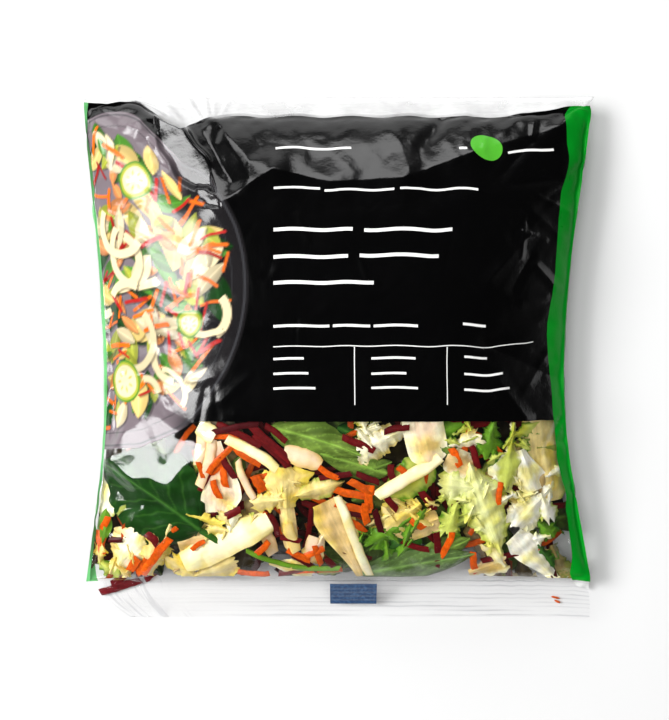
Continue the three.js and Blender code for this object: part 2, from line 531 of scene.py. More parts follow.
def new_object(name, points, faces):
    """A mesh object in the scene, from lists in metres."""
    mesh = bpy.data.meshes.new(name)
    mesh.from_pydata(points, [], faces)
    made = bpy.data.objects.new(name, mesh)
    bpy.context.scene.collection.objects.link(made)
    return made


def square(half):
    """Points and faces of a level square at height 0."""
    return [(-half, -half, 0), (half, -half, 0), (half, half, 0), (-half, half, 0)], [(0, 1, 2, 3)]


def make_piece(name, points, faces, material, places, colours=None):
    """A smooth piece of the bag, with its flat places and, if it has them, its colours by point."""
    made = new_object(name, (points * MM).tolist(), faces)
    mesh = made.data
    mesh.polygons.foreach_set("use_smooth", [True] * len(mesh.polygons))
    corners = np.zeros(len(mesh.loops), int)
    mesh.loops.foreach_get("vertex_index", corners)
    layer = mesh.uv_layers.new(name="place")
    layer.data.foreach_set("uv", places[corners].astype(np.float32).ravel())
    if colours is not None:
        attribute = mesh.color_attributes.new("tint", "FLOAT_COLOR", "POINT")
        rgba = np.concatenate([colours, np.ones((len(colours), 1))], 1)
        attribute.data.foreach_set("color", rgba.astype(np.float32).ravel())
    mesh.materials.append(material)
    mesh.update()
    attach(made, "root")
    return made


def make_sheet(name, points, material, places, colours=None):
    """A piece from a grid of points."""
    faces = quads(np.arange(points[..., 0].size).reshape(points.shape[:2])).tolist()
    tints = None if colours is None else colours.reshape(-1, 3)
    return make_piece(name, points.reshape(-1, 3), faces, material, places.reshape(-1, 2), tints)


# Materials


def new_material(name):
    material = bpy.data.materials.new(name)
    material.use_nodes = True
    material.node_tree.nodes.clear()
    return material, material.node_tree


def add_node(tree, kind, inputs=None, **settings):
    """A shader node; inputs maps a socket's name or number to a value or to another socket."""
    made = tree.nodes.new("ShaderNode" + kind)
    for name, value in settings.items():
        setattr(made, name, value)
    for key, value in (inputs or {}).items():
        if isinstance(value, bpy.types.NodeSocket):
            tree.links.new(value, made.inputs[key])
        else:
            made.inputs[key].default_value = value
    return made


def math_node(tree, operation, a, b):
    return add_node(tree, "Math", {0: a, 1: b}, operation=operation).outputs[0]


def vector_node(tree, operation, a, b=(0, 0, 0), result=0):
    return add_node(tree, "VectorMath", {0: a, 1: b}, operation=operation).outputs[result]


def point_colour(tree):
    return add_node(tree, "VertexColor", layer_name="tint").outputs[0]


def point_place(tree):
    """The place on the flat film, or along the piece of food."""
    return add_node(tree, "UVMap", uv_map="place").outputs[0]


def noise(tree, scale, detail=3.0, vector=None, stretch=None):
    """Noise over the object's own place, in features a metre, or over a given vector."""
    source = vector or add_node(tree, "TexCoord").outputs["Object"]
    if stretch:
        source = add_node(tree, "Mapping", {"Vector": source, "Scale": stretch}).outputs[0]
    return add_node(tree, "TexNoise", {"Vector": source, "Scale": scale, "Detail": detail}).outputs[0]


def remap(tree, value, low, high, out_low, out_high):
    inputs = {"Value": value, "From Min": low, "From Max": high, "To Min": out_low, "To Max": out_high}
    return add_node(tree, "MapRange", inputs).outputs[0]


def colour_mix(tree, factor, a, b, blend="MIX"):
    made = add_node(tree, "Mix", {0: factor}, data_type="RGBA", blend_type=blend)
    for index, value in ((6, a), (7, b)):
        if isinstance(value, bpy.types.NodeSocket):
            tree.links.new(value, made.inputs[index])
        else:
            made.inputs[index].default_value = (*value, 1)
    return made.outputs[2]


def bump(tree, height, distance, strength, normal=None):
    inputs = {"Height": height, "Distance": distance, "Strength": strength}
    if normal:
        inputs["Normal"] = normal
    return add_node(tree, "Bump", inputs).outputs[0]


def finish_surface(tree, shader):
    add_node(tree, "OutputMaterial", {"Surface": shader.outputs[0]})


def finish_solid(tree, colour, roughness, normal, **more):
    """Ends a material with one solid surface; more holds its other inputs, with _ for a space."""
    inputs = {"Base Color": colour, "Roughness": roughness, "Normal": normal}
    inputs.update({name.replace("_", " "): value for name, value in more.items()})
    finish_surface(tree, add_node(tree, "BsdfPrincipled", inputs))


def film_bump(tree):
    """Fine wrinkling and a faint grain of thin film."""
    creased = bump(tree, noise(tree, 130, 2), 0.0012, 0.13)
    return bump(tree, noise(tree, 900, 3), 0.0001, 0.5, creased)


def bar_distance(tree, place, bars):
    """Distance in mm from the nearest printed bar, over the flat film."""
    nearest = None
    for u, v, width, height in bars:
        size = vector_node(tree, "ABSOLUTE", vector_node(tree, "SUBTRACT", place, (u, v, 0)))
        excess = vector_node(tree, "SUBTRACT", size, (width / 2, height / 2, 0))
        split = add_node(tree, "SeparateXYZ", {0: excess})
        away = math_node(tree, "MAXIMUM", split.outputs[0], split.outputs[1])
        nearest = away if nearest is None else math_node(tree, "MINIMUM", nearest, away)
    return nearest


def printed_film_material(bars, disc):
    """Glossy film with its coloured print by point, white bars and a green disc."""
    material, tree = new_material("printed_film")
    tint, place = point_colour(tree), point_place(tree)
    u, v, radius = disc
    from_disc = math_node(tree, "SUBTRACT", vector_node(tree, "DISTANCE", place, (u, v, 0), "Value"), radius)
    inked = tint
    for distance, colour in ((bar_distance(tree, place, bars), WHITE), (from_disc, DISC_GREEN)):
        inked = colour_mix(tree, remap(tree, distance, -0.04, 0.04, 1, 0), inked, colour)
    finish_solid(tree, inked, remap(tree, noise(tree, 60), 0.3, 0.7, 0.14, 0.23), film_bump(tree), IOR=1.5)
    return material


def green_film_material(name, colour):
    """Glossy film printed in one green, a little uneven."""
    material, tree = new_material(name)
    worn = remap(tree, noise(tree, 25), 0.35, 0.7, 0, 1)
    colour = colour_mix(tree, worn, colour, np.array(colour) * 1.4)
    roughness = remap(tree, noise(tree, 90), 0.3, 0.7, 0.26, 0.38)
    finish_solid(tree, colour, roughness, film_bump(tree), IOR=1.5, Specular_IOR_Level=0.12)
    return material


def crimp_lines(tree):
    """The ribs of a crimped seal, and how much light they and its corner pleats hold back."""
    place = point_place(tree)
    inputs = {"Vector": place, "Scale": 0.17, "Distortion": 1.5, "Detail": 2.0, "Detail Scale": 0.3}
    ribs = add_node(tree, "TexWave", inputs, bands_direction="Y").outputs[1]
    across = add_node(tree, "SeparateXYZ", {0: place}).outputs[0]
    broken = remap(tree, noise(tree, 1.0, 3, place, (0.02, 0.35, 1)), 0.42, 0.62, 0.05, 1)
    worn = math_node(tree, "MULTIPLY", math_node(tree, "POWER", ribs, 4.0), broken)
    worn = math_node(tree, "MULTIPLY", worn, remap(tree, across, -70, 10, 0.2, 1))
    pleats = remap(tree, noise(tree, 1.0, 2, place, (0.45, 0.05, 1)), 0.54, 0.62, 0, 0.55)
    pleats = math_node(tree, "MULTIPLY", pleats, remap(tree, across, -62, -82, 0, 1))
    return ribs, math_node(tree, "MAXIMUM", worn, pleats)


def clear_film_material(name, haze, tone, shine, ribbed=False):
    """Clear film: it lets light through, shines more at grazing angles and holds a little white haze."""
    material, tree = new_material(name)
    normal = film_bump(tree)
    through = (tone, tone, tone, 1)
    if ribbed:
        ribs, worn = crimp_lines(tree)
        normal = bump(tree, ribs, 0.0002, 0.7, normal)
        through = colour_mix(tree, worn, (tone, tone, tone), (0.72, 0.72, 0.74))
    clear = add_node(tree, "BsdfTransparent", {"Color": through}).outputs[0]
    gloss = add_node(tree, "BsdfGlossy", {"Color": (1, 1, 1, 1), "Roughness": 0.10, "Normal": normal})
    white = add_node(tree, "BsdfDiffuse", {"Color": (0.9, 0.9, 0.9, 1), "Normal": normal})
    cloud = remap(tree, noise(tree, 45), 0.35, 0.75, haze * 0.6, haze * 1.6)
    body = add_node(tree, "MixShader", {0: cloud, 1: clear, 2: white.outputs[0]}).outputs[0]
    slant = add_node(tree, "LayerWeight", {"Blend": 0.5, "Normal": normal}).outputs["Facing"]
    shine = remap(tree, math_node(tree, "POWER", slant, 5.0), 0, 1, shine, 0.9)
    finish_surface(tree, add_node(tree, "MixShader", {0: shine, 1: body, 2: gloss.outputs[0]}))
    return material


def food_material(name, roughness, grain, streaks, speck, tinge, wet):
    """Moist food: the colour by point, with a tinge in patches, streaks along each piece and mottling."""
    material, tree = new_material(name)
    tint, place = point_colour(tree), point_place(tree)
    lines = noise(tree, 1.0, 3, place, streaks)
    mottle = noise(tree, grain, 3)
    shade = remap(tree, lines, 0.3, 0.7, 1 - speck, 1 + speck * 0.5)
    patch = remap(tree, mottle, 0.3, 0.7, 1 - speck * 0.8, 1 + speck * 0.4)
    value = math_node(tree, "MULTIPLY", shade, patch)
    grey = add_node(tree, "CombineColor", {0: value, 1: value, 2: value}).outputs[0]
    colour = colour_mix(tree, 1.0, tint, grey, "MULTIPLY")
    stained = remap(tree, noise(tree, 95, 2), 0.46, 0.66, 0, 1)
    colour = colour_mix(tree, stained, colour, colour_mix(tree, 1.0, colour, tinge, "MULTIPLY"))
    normal = bump(tree, mottle, 0.0003, 0.35, bump(tree, lines, 0.0004, 0.5))
    finish_solid(
        tree,
        colour,
        remap(tree, mottle, 0.3, 0.7, roughness - 0.08, roughness + 0.08),
        normal,
        IOR=1.4,
        Specular_IOR_Level=0.18,
        Coat_Weight=wet,
        Coat_Roughness=0.2,
        Subsurface_Weight=0.12,
        Subsurface_Radius=(0.002, 0.0015, 0.0006),
        Subsurface_Scale=1.0,
    )
    return material


# The print


def paint(colours, mask, colour):
    colours[...] = mix(colours, np.array(colour), mask[..., None])


def disc(u, v, x, y, radius):
    return smooth(0.5 - (np.hypot(u - x, v - y) - radius) / 0.8)


def oval(u, v, x, y, length, width, angle):
    """A pointed oval, such as a printed leaf, and the distance across it from -1 to 1."""
    along, across = turned(u - x, v - y, angle)
    half = width / 2 * np.maximum(1e-3, 1 - (2 * along / length) ** 2)
    inside = smooth(0.5 - (np.abs(across) - half) / 0.8) * (np.abs(along) < length / 2)
    return inside, across / half


def stick(u, v, x, y, length, width, angle):
    along, across = turned(u - x, v - y, angle)
    away = np.hypot(np.maximum(0, np.abs(along) - length / 2), across)
    return smooth(0.5 - (away - width / 2) / 0.7)


def ribbon(u, v, x, y, radius, width, start, sweep):
    """A curved band, from one angle over a sweep."""
    away = np.abs(np.hypot(u - x, v - y) - radius)
    turn = (np.arctan2(v - y, u - x) - start) % TAU
    return smooth(0.5 - (away - width / 2) / 0.7) * (turn < sweep)


# Linear colours of the printed dish
PRINTED = {
    # plate is the print's plate colour with a painted reflection of the key lamp on the film over it; far
    # plate is the dark print without it.
    "plate": (0.16, 0.13, 0.145),
    "far plate": (0.010, 0.009, 0.010),
    "rim": (0.045, 0.045, 0.05),
    "inner rim": (0.03, 0.03, 0.033),
    "shadow": (0.016, 0.010, 0.010),
    "cream": (0.64, 0.47, 0.16),
    "yellow": (0.60, 0.36, 0.03),
    "lime": (0.35, 0.38, 0.04),
    "pale": (0.70, 0.59, 0.36),
    "leaf": (0.06, 0.20, 0.02),
    "dark": (0.008, 0.05, 0.008),
    "salmon": (0.60, 0.22, 0.07),
    "orange": (0.78, 0.14, 0.006),
    "red": (0.40, 0.012, 0.010),
}
# Printed leaves in their layers: colour, count and greatest length
PRINTED_LEAVES = (
    ("dark", 18, 26),
    ("leaf", 18, 22),
    ("cream", 24, 24),
    ("lime", 20, 18),
    ("salmon", 20, 16),
    ("pale", 22, 20),
    ("leaf", 12, 11),
)
PRINTED_STICKS = (("orange", 50), ("red", 30))
PRINTED_RIBBONS = 11
# Printed rounds: place from the middle of the dish, and radius
PRINTED_ROUNDS = ((26, 40, 8), (14, -44, 9), (48, -14, 6))


class Dish:
    """A generic plate of salad in the round field: leaves, sticks, ribbons and rounds in free layout."""

    def __init__(self, colours, u, v, middle):
        self.colours, self.u, self.v, self.middle = colours, u, v, middle
        self.radius = DISH["radius"]
        self.rng = np.random.default_rng(23)

    def paint(self):
        self.paint_plate()
        for name, count, longest in PRINTED_LEAVES:
            for _ in range(count):
                self.paint_leaf(PRINTED[name], longest)
        for name, count in PRINTED_STICKS:
            for _ in range(count):
                shape = (*self.anywhere(9), *self.draw((5, 13), (1, 1.9), (0, TAU)))
                self.paint_band(stick, shape, np.array(PRINTED[name]) * self.rng.uniform(0.7, 1.1), 0.5)
        for _ in range(PRINTED_RIBBONS):
            shape = (*self.anywhere(16), *self.draw((6, 15), (2.2, 4), (0, TAU), (1.2, 3.4)))
            self.paint_band(ribbon, shape, np.array(PRINTED["pale"]) * self.rng.uniform(0.75, 1.1), 0.8)
        for x, y, size in PRINTED_ROUNDS:
            self.paint_round(self.middle[0] + x, self.middle[1] + y, size, x)

    def draw(self, *ranges):
        return [self.rng.uniform(*limits) for limits in ranges]

    def anywhere(self, margin):
        """A random place on the right half of the plate, inside a margin."""
        reach = (self.radius - margin) * math.sqrt(self.rng.uniform(0, 1))
        turn = self.rng.uniform(-1.6, 1.6)
        return self.middle[0] + reach * math.cos(turn), self.middle[1] + reach * math.sin(turn)

    def paint_plate(self):
        inside = self.radius - np.hypot(self.u - self.middle[0], self.v - self.middle[1])
        # The plate is paler on its left, where a painted reflection of the key lamp on the film lies over
        # the print, and falls to the dark print colour between u -74 and -60.
        darker = smooth((self.u + 74) / 14)[..., None]
        plate = mix(np.array(PRINTED["plate"]), np.array(PRINTED["far plate"]), darker)
        paint(self.colours, smooth(0.5 + inside / 0.9), plate)
        paint(self.colours, tent((1.6 - inside) / 0.7), PRINTED["rim"])
        paint(self.colours, tent((7 - inside) / 0.5) * 0.6, PRINTED["inner rim"])

    def paint_leaf(self, colour, longest):
        """A leaf with its shadow on what lies below, a darker half and a pale midrib."""
        x, y = self.anywhere(12)
        length = longest * self.rng.uniform(0.5, 1)
        shape = (x, y, length, length * self.rng.uniform(0.3, 0.55), self.rng.uniform(0, TAU))
        paint(self.colours, 0.6 * oval(self.u - 0.8, self.v + 0.8, *shape)[0], PRINTED["shadow"])
        mask, across = oval(self.u, self.v, *shape)
        tone = np.array(colour) * self.rng.uniform(0.6, 1.15)
        paint(self.colours, mask, np.minimum(1, tone))
        paint(self.colours, mask * smooth(across * 1.4) * 0.5, tone * 0.4)
        paint(self.colours, mask * tent(across / 0.16) * 0.6, np.minimum(1, tone * 1.7))

    def paint_band(self, kind, shape, colour, drop):
        """A stick or ribbon with its shadow, which falls a little to the right and down."""
        paint(self.colours, 0.6 * kind(self.u - drop, self.v + drop, *shape), PRINTED["shadow"])
        paint(self.colours, kind(self.u, self.v, *shape), colour)

    def paint_round(self, x, y, size, first_angle):
        """A cut round with its rind and seeds."""
        for inset, name in ((0, "leaf"), (0.9, "lime"), (2.2, "pale")):
            paint(self.colours, disc(self.u, self.v, x, y, size - inset), PRINTED[name])
        for k in range(7):
            angle = TAU * k / 7 + first_angle
            seed_x, seed_y = x + 0.4 * size * math.cos(angle), y + 0.4 * size * math.sin(angle)
            mask, _ = oval(self.u, self.v, seed_x, seed_y, 0.3 * size, 0.12 * size, angle)
            paint(self.colours, mask * 0.8, PRINTED["yellow"])


def print_marks(film):
    """Rules, plain bars where a pack has its words, and a disc; each as it lies on the flat film."""
    bars = []

    def bar(x, y, width, height):
        left, _ = film.flat_of(x, y)
        right, v = film.flat_of(x + width, y)
        bars.append(((left + right) / 2, v, right - left, height))

    for x, y, width in ((-27, 91.5, 33), (53, 91.5, 3.5), (74, 91.5, 21)):
        bar(x, y, width, 1.2)
    for x, width in ((-27.5, 20), (-5.5, 30), (27, 34)):
        bar(x, 73, width, 1.0)
    for y, widths in ((55.5, (34, 38)), (43.8, (32, 34)), (32.3, (43,))):
        x = -27.5
        for width in widths:
            bar(x, y, width, 1.5)
            x += width + 5
    for x, width in ((-27.5, 24), (-2, 16), (15.5, 19), (54, 10)):
        bar(x, 13.7, width, 1.1)
    bar(-27.6, 7.1, 113, 0.4)
    for x in (7.3, 47.1):
        bar(x - 0.2, -7.7, 0.4, 24)
    for x, widths in ((-27.5, (13, 15, 18)), (14.5, (19, 15, 20)), (54.6, (10, 17, 20))):
        for k, width in enumerate(widths):
            bar(x, -0.2 - 6.4 * k, width, 0.95)
    return bars, (*film.flat_of(65, 92), 6.6)


# The film's pieces


def film_lines(low, high, step):
    return np.linspace(low, high, max(2, round((high - low) / step)) + 1)


def bottom_line(u):
    return -HALF_BODY + 0 * u


def top_line(u):
    return HALF_BODY + 0 * u


class FilmPieces:
    """Front and back film in their printed and clear fields, which share their border lines."""

    LEFT = -HALF_WIDTH + LEFT_GREEN
    RIGHT = HALF_WIDTH - RIGHT_GREEN
    BACK_INSETS = (6, 8)
    PRINT_LENGTH = 150
    PRINT_STEP = 0.56
    CLEAR_STEP = 0.8
    BACK_STEP = 1.6
    BORDER_KNOTS = 30
    UPPER_BEND = {"size": 4.2, "starts": -5, "grows": 75}
    WAIST_BEND = {"size": 3.6, "middle": 3, "reach": 26}
    BEND_FADE = 30

    def __init__(self, film):
        self.film = film
        ends = left_edge(WINDOW_TOP) + 2, right_edge(WINDOW_TOP) - 2
        knots = [film.flat_of(x, WINDOW_TOP) for x in np.linspace(*ends, self.BORDER_KNOTS)]
        self.border_u, self.border_v = np.array(knots).T
        self.dish = DISH["u"], film.flat_of(-60, DISH["y"])[1]
        self.ink = printed_film_material(*print_marks(film))

    def plain_border(self, u):
        """The straight line between print and window."""
        return np.interp(u, self.border_u, self.border_v)

    def border(self, u):
        """The same line where the dish hangs over it."""
        below = np.maximum(0, DISH["radius"] ** 2 - (u - self.dish[0]) ** 2) ** 0.5
        return np.minimum(self.plain_border(u), self.dish[1] - below)

    def bent(self, u, v):
        """Moves places sideways so that the right strip is wider along its upper half and at its waist."""
        fading = tent((u - self.RIGHT) / self.BEND_FADE)
        share = np.where(u > self.RIGHT, (HALF_WIDTH - u) / RIGHT_GREEN, fading)
        upper, middle = self.UPPER_BEND, self.WAIST_BEND
        shift = upper["size"] * smooth((v - upper["starts"]) / upper["grows"])
        shift = shift + middle["size"] * tent((v - middle["middle"]) / middle["reach"])
        return u - shift * share

    def field(self, us, low, high, rows):
        """Flat places of a field between two border lines."""
        v = mix(low[None], high[None], np.linspace(0, 1, rows + 1)[:, None])
        return self.bent(us[None] + 0 * v, v), v

    def plain_piece(self, name, at, us, low, high, step, material, slot="printed_film"):
        rows = round(float(np.max(high(us) - low(us))) / step)
        u, v = self.field(us, low(us), high(us), rows)
        make_sheet(name, at(u, v), material, np.stack([u, v], -1))

    def printed_piece(self, name, at, us, low, step, with_dish):
        u, v = self.field(us, low(us), top_line(us), round(self.PRINT_LENGTH / step))
        colours = np.zeros((*u.shape, 3)) + np.array(BLACK)
        if with_dish:
            Dish(colours, u, v, self.dish).paint()
        return make_sheet(name, at(u, v), self.ink, np.stack([u, v], -1), colours)

    def make(self):
        front_at, back_at = self.film.front_at, self.film.back_at
        green = green_film_material("green_film", GREEN)
        # The left strips' green carries painted light: it is lighter than the same green film on the right.
        pale = green_film_material("green_film_with_painted_light", GREEN_PAINTED_LIGHTER)
        clear = clear_film_material("clear_film", 0.002, tone=1.0, shine=0.052)
        front_u = film_lines(self.LEFT, self.RIGHT, FINE_STEP)
        back_left, back_right = self.BACK_INSETS
        back_u = film_lines(back_left - HALF_WIDTH, HALF_WIDTH - back_right, self.BACK_STEP)
        face = self.printed_piece("printed_front", front_at, front_u, self.border, self.PRINT_STEP, True)
        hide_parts("salad_bag")
        window = ("clear_window", front_at, front_u, bottom_line, self.border, self.CLEAR_STEP)
        self.plain_piece(*window, clear, "clear_film")
        strips = (
            ("green_left", front_at, -HALF_WIDTH, self.LEFT, self.CLEAR_STEP, pale),
            ("green_right", front_at, self.RIGHT, HALF_WIDTH, self.CLEAR_STEP, green),
            ("green_back_left", back_at, -HALF_WIDTH, back_u[0], self.BACK_STEP, pale),
            ("green_back_right", back_at, back_u[-1], HALF_WIDTH, self.BACK_STEP, green),
        )
        for name, at, low, high, step, ink in strips:
            self.plain_piece(name, at, film_lines(low, high, step), bottom_line, top_line, step, ink)
        self.printed_piece("printed_back", back_at, back_u, self.plain_border, self.BACK_STEP, False)
        back_window = ("clear_back", back_at, back_u, bottom_line, self.plain_border, self.BACK_STEP)
        self.plain_piece(*back_window, clear, "clear_film")


# Ribs along the seals, notches in their cut edges, and where they are gathered: middle, reach, bulge
RIBBED = {"height": 0.09, "pitch": 1.7}
NOTCHED = {"depth": 0.7, "pitch": 1.9}
GATHERED = {"bottom": (-92, 17, 3), "top": (-62, 14, 0)}

# Fineness of the seals, and the rows and columns of the bottom one that hold its mark
SEAL_ROWS = {"bottom": 64, "top": 36}
SEAL_COLUMNS = 260
MARK_ROWS = slice(8, 42)
MARK_COLUMNS = slice(124, 148)


def seal_points(film, side):
    """A crimped end seal: ribs along it, pleats at the gathered corner and a notched cut edge."""
    grid, depth, way = (film.top, TOP_SEAL, 1) if side == "top" else (film.bottom, BOTTOM_SEAL, -1)
    down, over = np.linspace(0, 1, SEAL_ROWS[side]), np.linspace(0, 1, SEAL_COLUMNS)
    t, column = np.meshgrid(down, over, indexing="ij")
    points = sample(grid, t * (grid.shape[0] - 1), column * (grid.shape[1] - 1))
    u = (column - 0.5) * FLAT_WIDTH
    notch = NOTCHED["depth"] * tent((u / NOTCHED["pitch"]) % 1 * 2 - 1) * smooth((t - 0.93) / 0.07)
    points[..., 1] -= notch * way
    points[..., 2] += RIBBED["height"] * np.sin(TAU * t * depth / RIBBED["pitch"]) * smooth(t * 5)
    middle, reach, bulge = GATHERED[side]
    gathered = np.exp(-(((u - middle) / reach) ** 2))
    angle = np.arctan2(u - middle - 8, depth * t + 6)
    pleats = np.sin(angle * 17) + 0.6 * np.sin(angle * 29 + 1)
    points[..., 2] += (0.8 * pleats + bulge * (1 - t)) * smooth(t * 3) * gathered
    points[..., 2] = np.maximum(points[..., 2], 0.3)
    return points, np.stack([u, way * depth * t], -1)


def make_seals(film):
    crimped = clear_film_material("crimped_film", 0.007, tone=1.0, shine=0.015, ribbed=True)
    smooth_film = clear_film_material("top_seal_film", 0.4, tone=0.995, shine=0.02)
    bottom, top = seal_points(film, "bottom"), seal_points(film, "top")
    seals = (("seal_bottom", *bottom, crimped), ("seal_top", *top, smooth_film))
    for name, points, places, material in seals:
        make_sheet(name, points, material, places)
    make_seal_mark(*bottom)
    make_flap()


def make_flap():
    """The small white fold of film beyond the right green strip."""
    corners = np.array([[(101.8, -97.2), (112.2, -97.6)], [(107, -101.8), (112, -103.2)]], float)
    across, along = np.meshgrid(np.linspace(0, 1, 9), np.linspace(0, 1, 7))
    low, high = (mix(corners[0, k], corners[1, k], along[..., None]) for k in (0, 1))
    flat = mix(low, high, across[..., None])
    height = 5.2 - 2.6 * along + 0.5 * np.sin(TAU * (across + along))
    material, tree = new_material("white_film")
    shade = colour_mix(tree, noise(tree, 90), (0.78, 0.79, 0.77), (0.86, 0.86, 0.85))
    finish_solid(tree, shade, 0.35, film_bump(tree))
    make_sheet("white_flap", np.concatenate([flat, height[..., None]], -1), material, flat)


def make_seal_mark(points, places):
    """The blue register mark printed on the bottom seal, wavy with its ribs."""
    patch = points[MARK_ROWS, MARK_COLUMNS] + np.array([0, 0, 0.08])
    material, tree = new_material("register_ink")
    worn = remap(tree, noise(tree, 700), 0.4, 0.7, 0, 1)
    finish_solid(tree, colour_mix(tree, worn, (0.018, 0.05, 0.13), (0.05, 0.12, 0.25)), 0.3, film_bump(tree))
    make_sheet("register_mark", patch, material, places[MARK_ROWS, MARK_COLUMNS])


# The contents


class Food:
    """Gathers the many small solids of one kind of food into one mesh."""

    SHARP_ANGLE = math.radians(38)

    def __init__(self):
        self.points = []
        self.faces = []
        self.colours = []
        self.places = []
        self.count = 0

    def add(self, points, face_groups, colours, places):
        for faces in face_groups:
            self.faces += (faces + self.count).tolist()
        self.points.append(points)
        self.colours.append(np.clip(colours, 0, 1))
        self.places.append(places)
        self.count += len(points)

    def add_leaf(self, top, colours, places, thickness):
        """A thin solid: a grid of points, the same grid a thickness lower, and a rim."""
        size = top[..., 0].size
        index = np.arange(size).reshape(top.shape[:2])
        rim = np.concatenate([index[0], index[1:, -1], index[-1, -2::-1], index[-2:0:-1, 0]])
        after = np.roll(rim, -1)
        rim_faces = np.stack([rim, rim + size, after + size, after], -1)
        under = top - np.array([0, 0, 1]) * thickness
        points = np.concatenate([top.reshape(-1, 3), under.reshape(-1, 3)])
        twice = (np.concatenate([a.reshape(size, -1)] * 2) for a in (colours, places))
        self.add(points, (quads(index), quads(index)[:, ::-1] + size, rim_faces), *twice)

    def add_tube(self, rings, colours, places):
        """A closed solid from rings of points, with its ends capped."""
        count, around = rings.shape[:2]
        index = np.arange(count * around).reshape(count, around)
        wrapped = np.concatenate([index, index[:, :1]], 1)
        first, last = (np.full(around, count * around + k) for k in (0, 1))
        start_cap = np.stack([wrapped[0, 1:], index[0], first], -1)
        end_cap = np.stack([index[-1], wrapped[-1, 1:], last], -1)
        flat = np.concatenate([places.reshape(-1, 2), places[0, :1], places[-1, :1]])

        def with_ends(values):
            middles = np.stack([values[0].mean(0), values[-1].mean(0)])
            return np.concatenate([values.reshape(-1, 3), middles])

        groups = (quads(wrapped)[:, ::-1], start_cap, end_cap)
        self.add(with_ends(rings), groups, with_ends(colours), flat)

    def make(self, name, material, slot):
        points, places, colours = (np.concatenate(a) for a in (self.points, self.places, self.colours))
        made = make_piece(name, points, self.faces, material, places, colours)
        made.data.set_sharp_from_angle(angle=self.SHARP_ANGLE)


class Bag:
    """The room inside the film."""

    FILM_GAP = 0.5
    TABLE_GAP = 0.3
    SIDE_GAP = 1.2

    def __init__(self, film):
        u, v = np.meshgrid(film_lines(-HALF_WIDTH, HALF_WIDTH, 1.5), film_lines(-HALF_BODY, HALF_BODY, 1.5))
        faces = quads(np.arange(u.size).reshape(u.shape))
        self.above = Heights(film.front_at(u, v).reshape(-1, 3), faces, True)
        self.below = Heights(film.back_at(u, v).reshape(-1, 3), faces, False)

    def lay(self, x, y, depth):
        """Points a depth under the front film, kept inside the bag."""
        s = clamp(2 * (x - left_edge(y)) / (right_edge(y) - left_edge(y)) - 1, -1, 1)
        y = clamp(y, bottom_seam(s) + 0.8, top_seam(s) - 1.5)
        x = clamp(x, left_edge(y) + self.SIDE_GAP, right_edge(y) - self.SIDE_GAP)
        high = self.above.at(x, y) - self.FILM_GAP
        low = self.below.at(x, y) + self.TABLE_GAP
        return np.stack([x, y, clamp(high - depth, np.minimum(low, high), high)], -1)


class SealPocket:
    """The low room under the bottom seal."""

    HEIGHT = 2.8

    def lay(self, x, y, depth):
        return np.stack([x, y, np.maximum(self.HEIGHT - depth, 0.3) + 0 * x], -1)


def ripple(rng, s, count):
    """Smooth random waves along s, between about -1 and 1."""
    total = 0
    for k in range(3):
        total = total + np.sin(TAU * (count * 2**k * s + rng.uniform())) / (1.6**k)
    return total / 2


def rough(rng, s, count):
    """An uneven jagged line along s, from -1 to 1, with about count teeth and finer ones on them."""
    total = 0
    for share, number in ((0.65, count), (0.35, 2.7 * count)):
        knots = max(3, int(number) * 2)
        levels = rng.uniform(-1, 1, knots + 1)
        total = total + share * np.interp(s, np.linspace(0, 1, knots + 1), levels)
    return total


def crumple(rng, x, y, shortest, longest):
    """Uneven height from 0 to about 1, as crossing waves between two lengths in mm."""
    total = 0
    for _ in range(6):
        angle, turn = rng.uniform(0, TAU), rng.uniform(0, TAU)
        length = rng.uniform(shortest, longest)
        total = total + np.sin(TAU * (x * math.cos(angle) + y * math.sin(angle)) / length + turn)
    return 0.5 + total / 7


def leaf_profile(shape, s):
    """Half the width of a leaf at s along it, as a share of its widest."""
    if shape == "oval":
        return np.sin(math.pi * clamp(s, 0.012, 0.985) ** 0.8) ** 0.7
    if shape == "pointed":
        return np.sin(math.pi * clamp(s, 0.01, 0.99)) ** 0.95
    if shape == "fan":
        return mix(0.3, 1.0, smooth(s * 1.2)) * (1 - 0.3 * smooth((s - 0.8) / 0.2))
    if shape == "stalked":
        return mix(0.16, 1.0, smooth((s - 0.25) / 0.5)) * (1 - 0.45 * smooth((s - 0.75) / 0.25))
    return (1 - 0.10 * (2 * s - 1) ** 2) * (1 - 0.4 * np.abs(2 * s - 1) ** 9)


def line_frame(start, end):
    """The length of a line, and a function for the place a distance along and beside it."""
    start, end = np.array(start, float), np.array(end, float)
    length = float(np.hypot(*(end - start)))
    heading = (end - start) / length

    def place(forwards, sideways=0.0):
        x = start[0] + heading[0] * forwards - heading[1] * sideways
        return x, start[1] + heading[1] * forwards + heading[0] * sideways

    return length, place


def leaf_grid(rows, columns):
    """s from 0 at the base of a leaf to 1 at its tip, and t from -1 to 1 across it."""
    return np.meshgrid(np.linspace(0, 1, rows + 1), np.linspace(-1, 1, columns), indexing="ij")


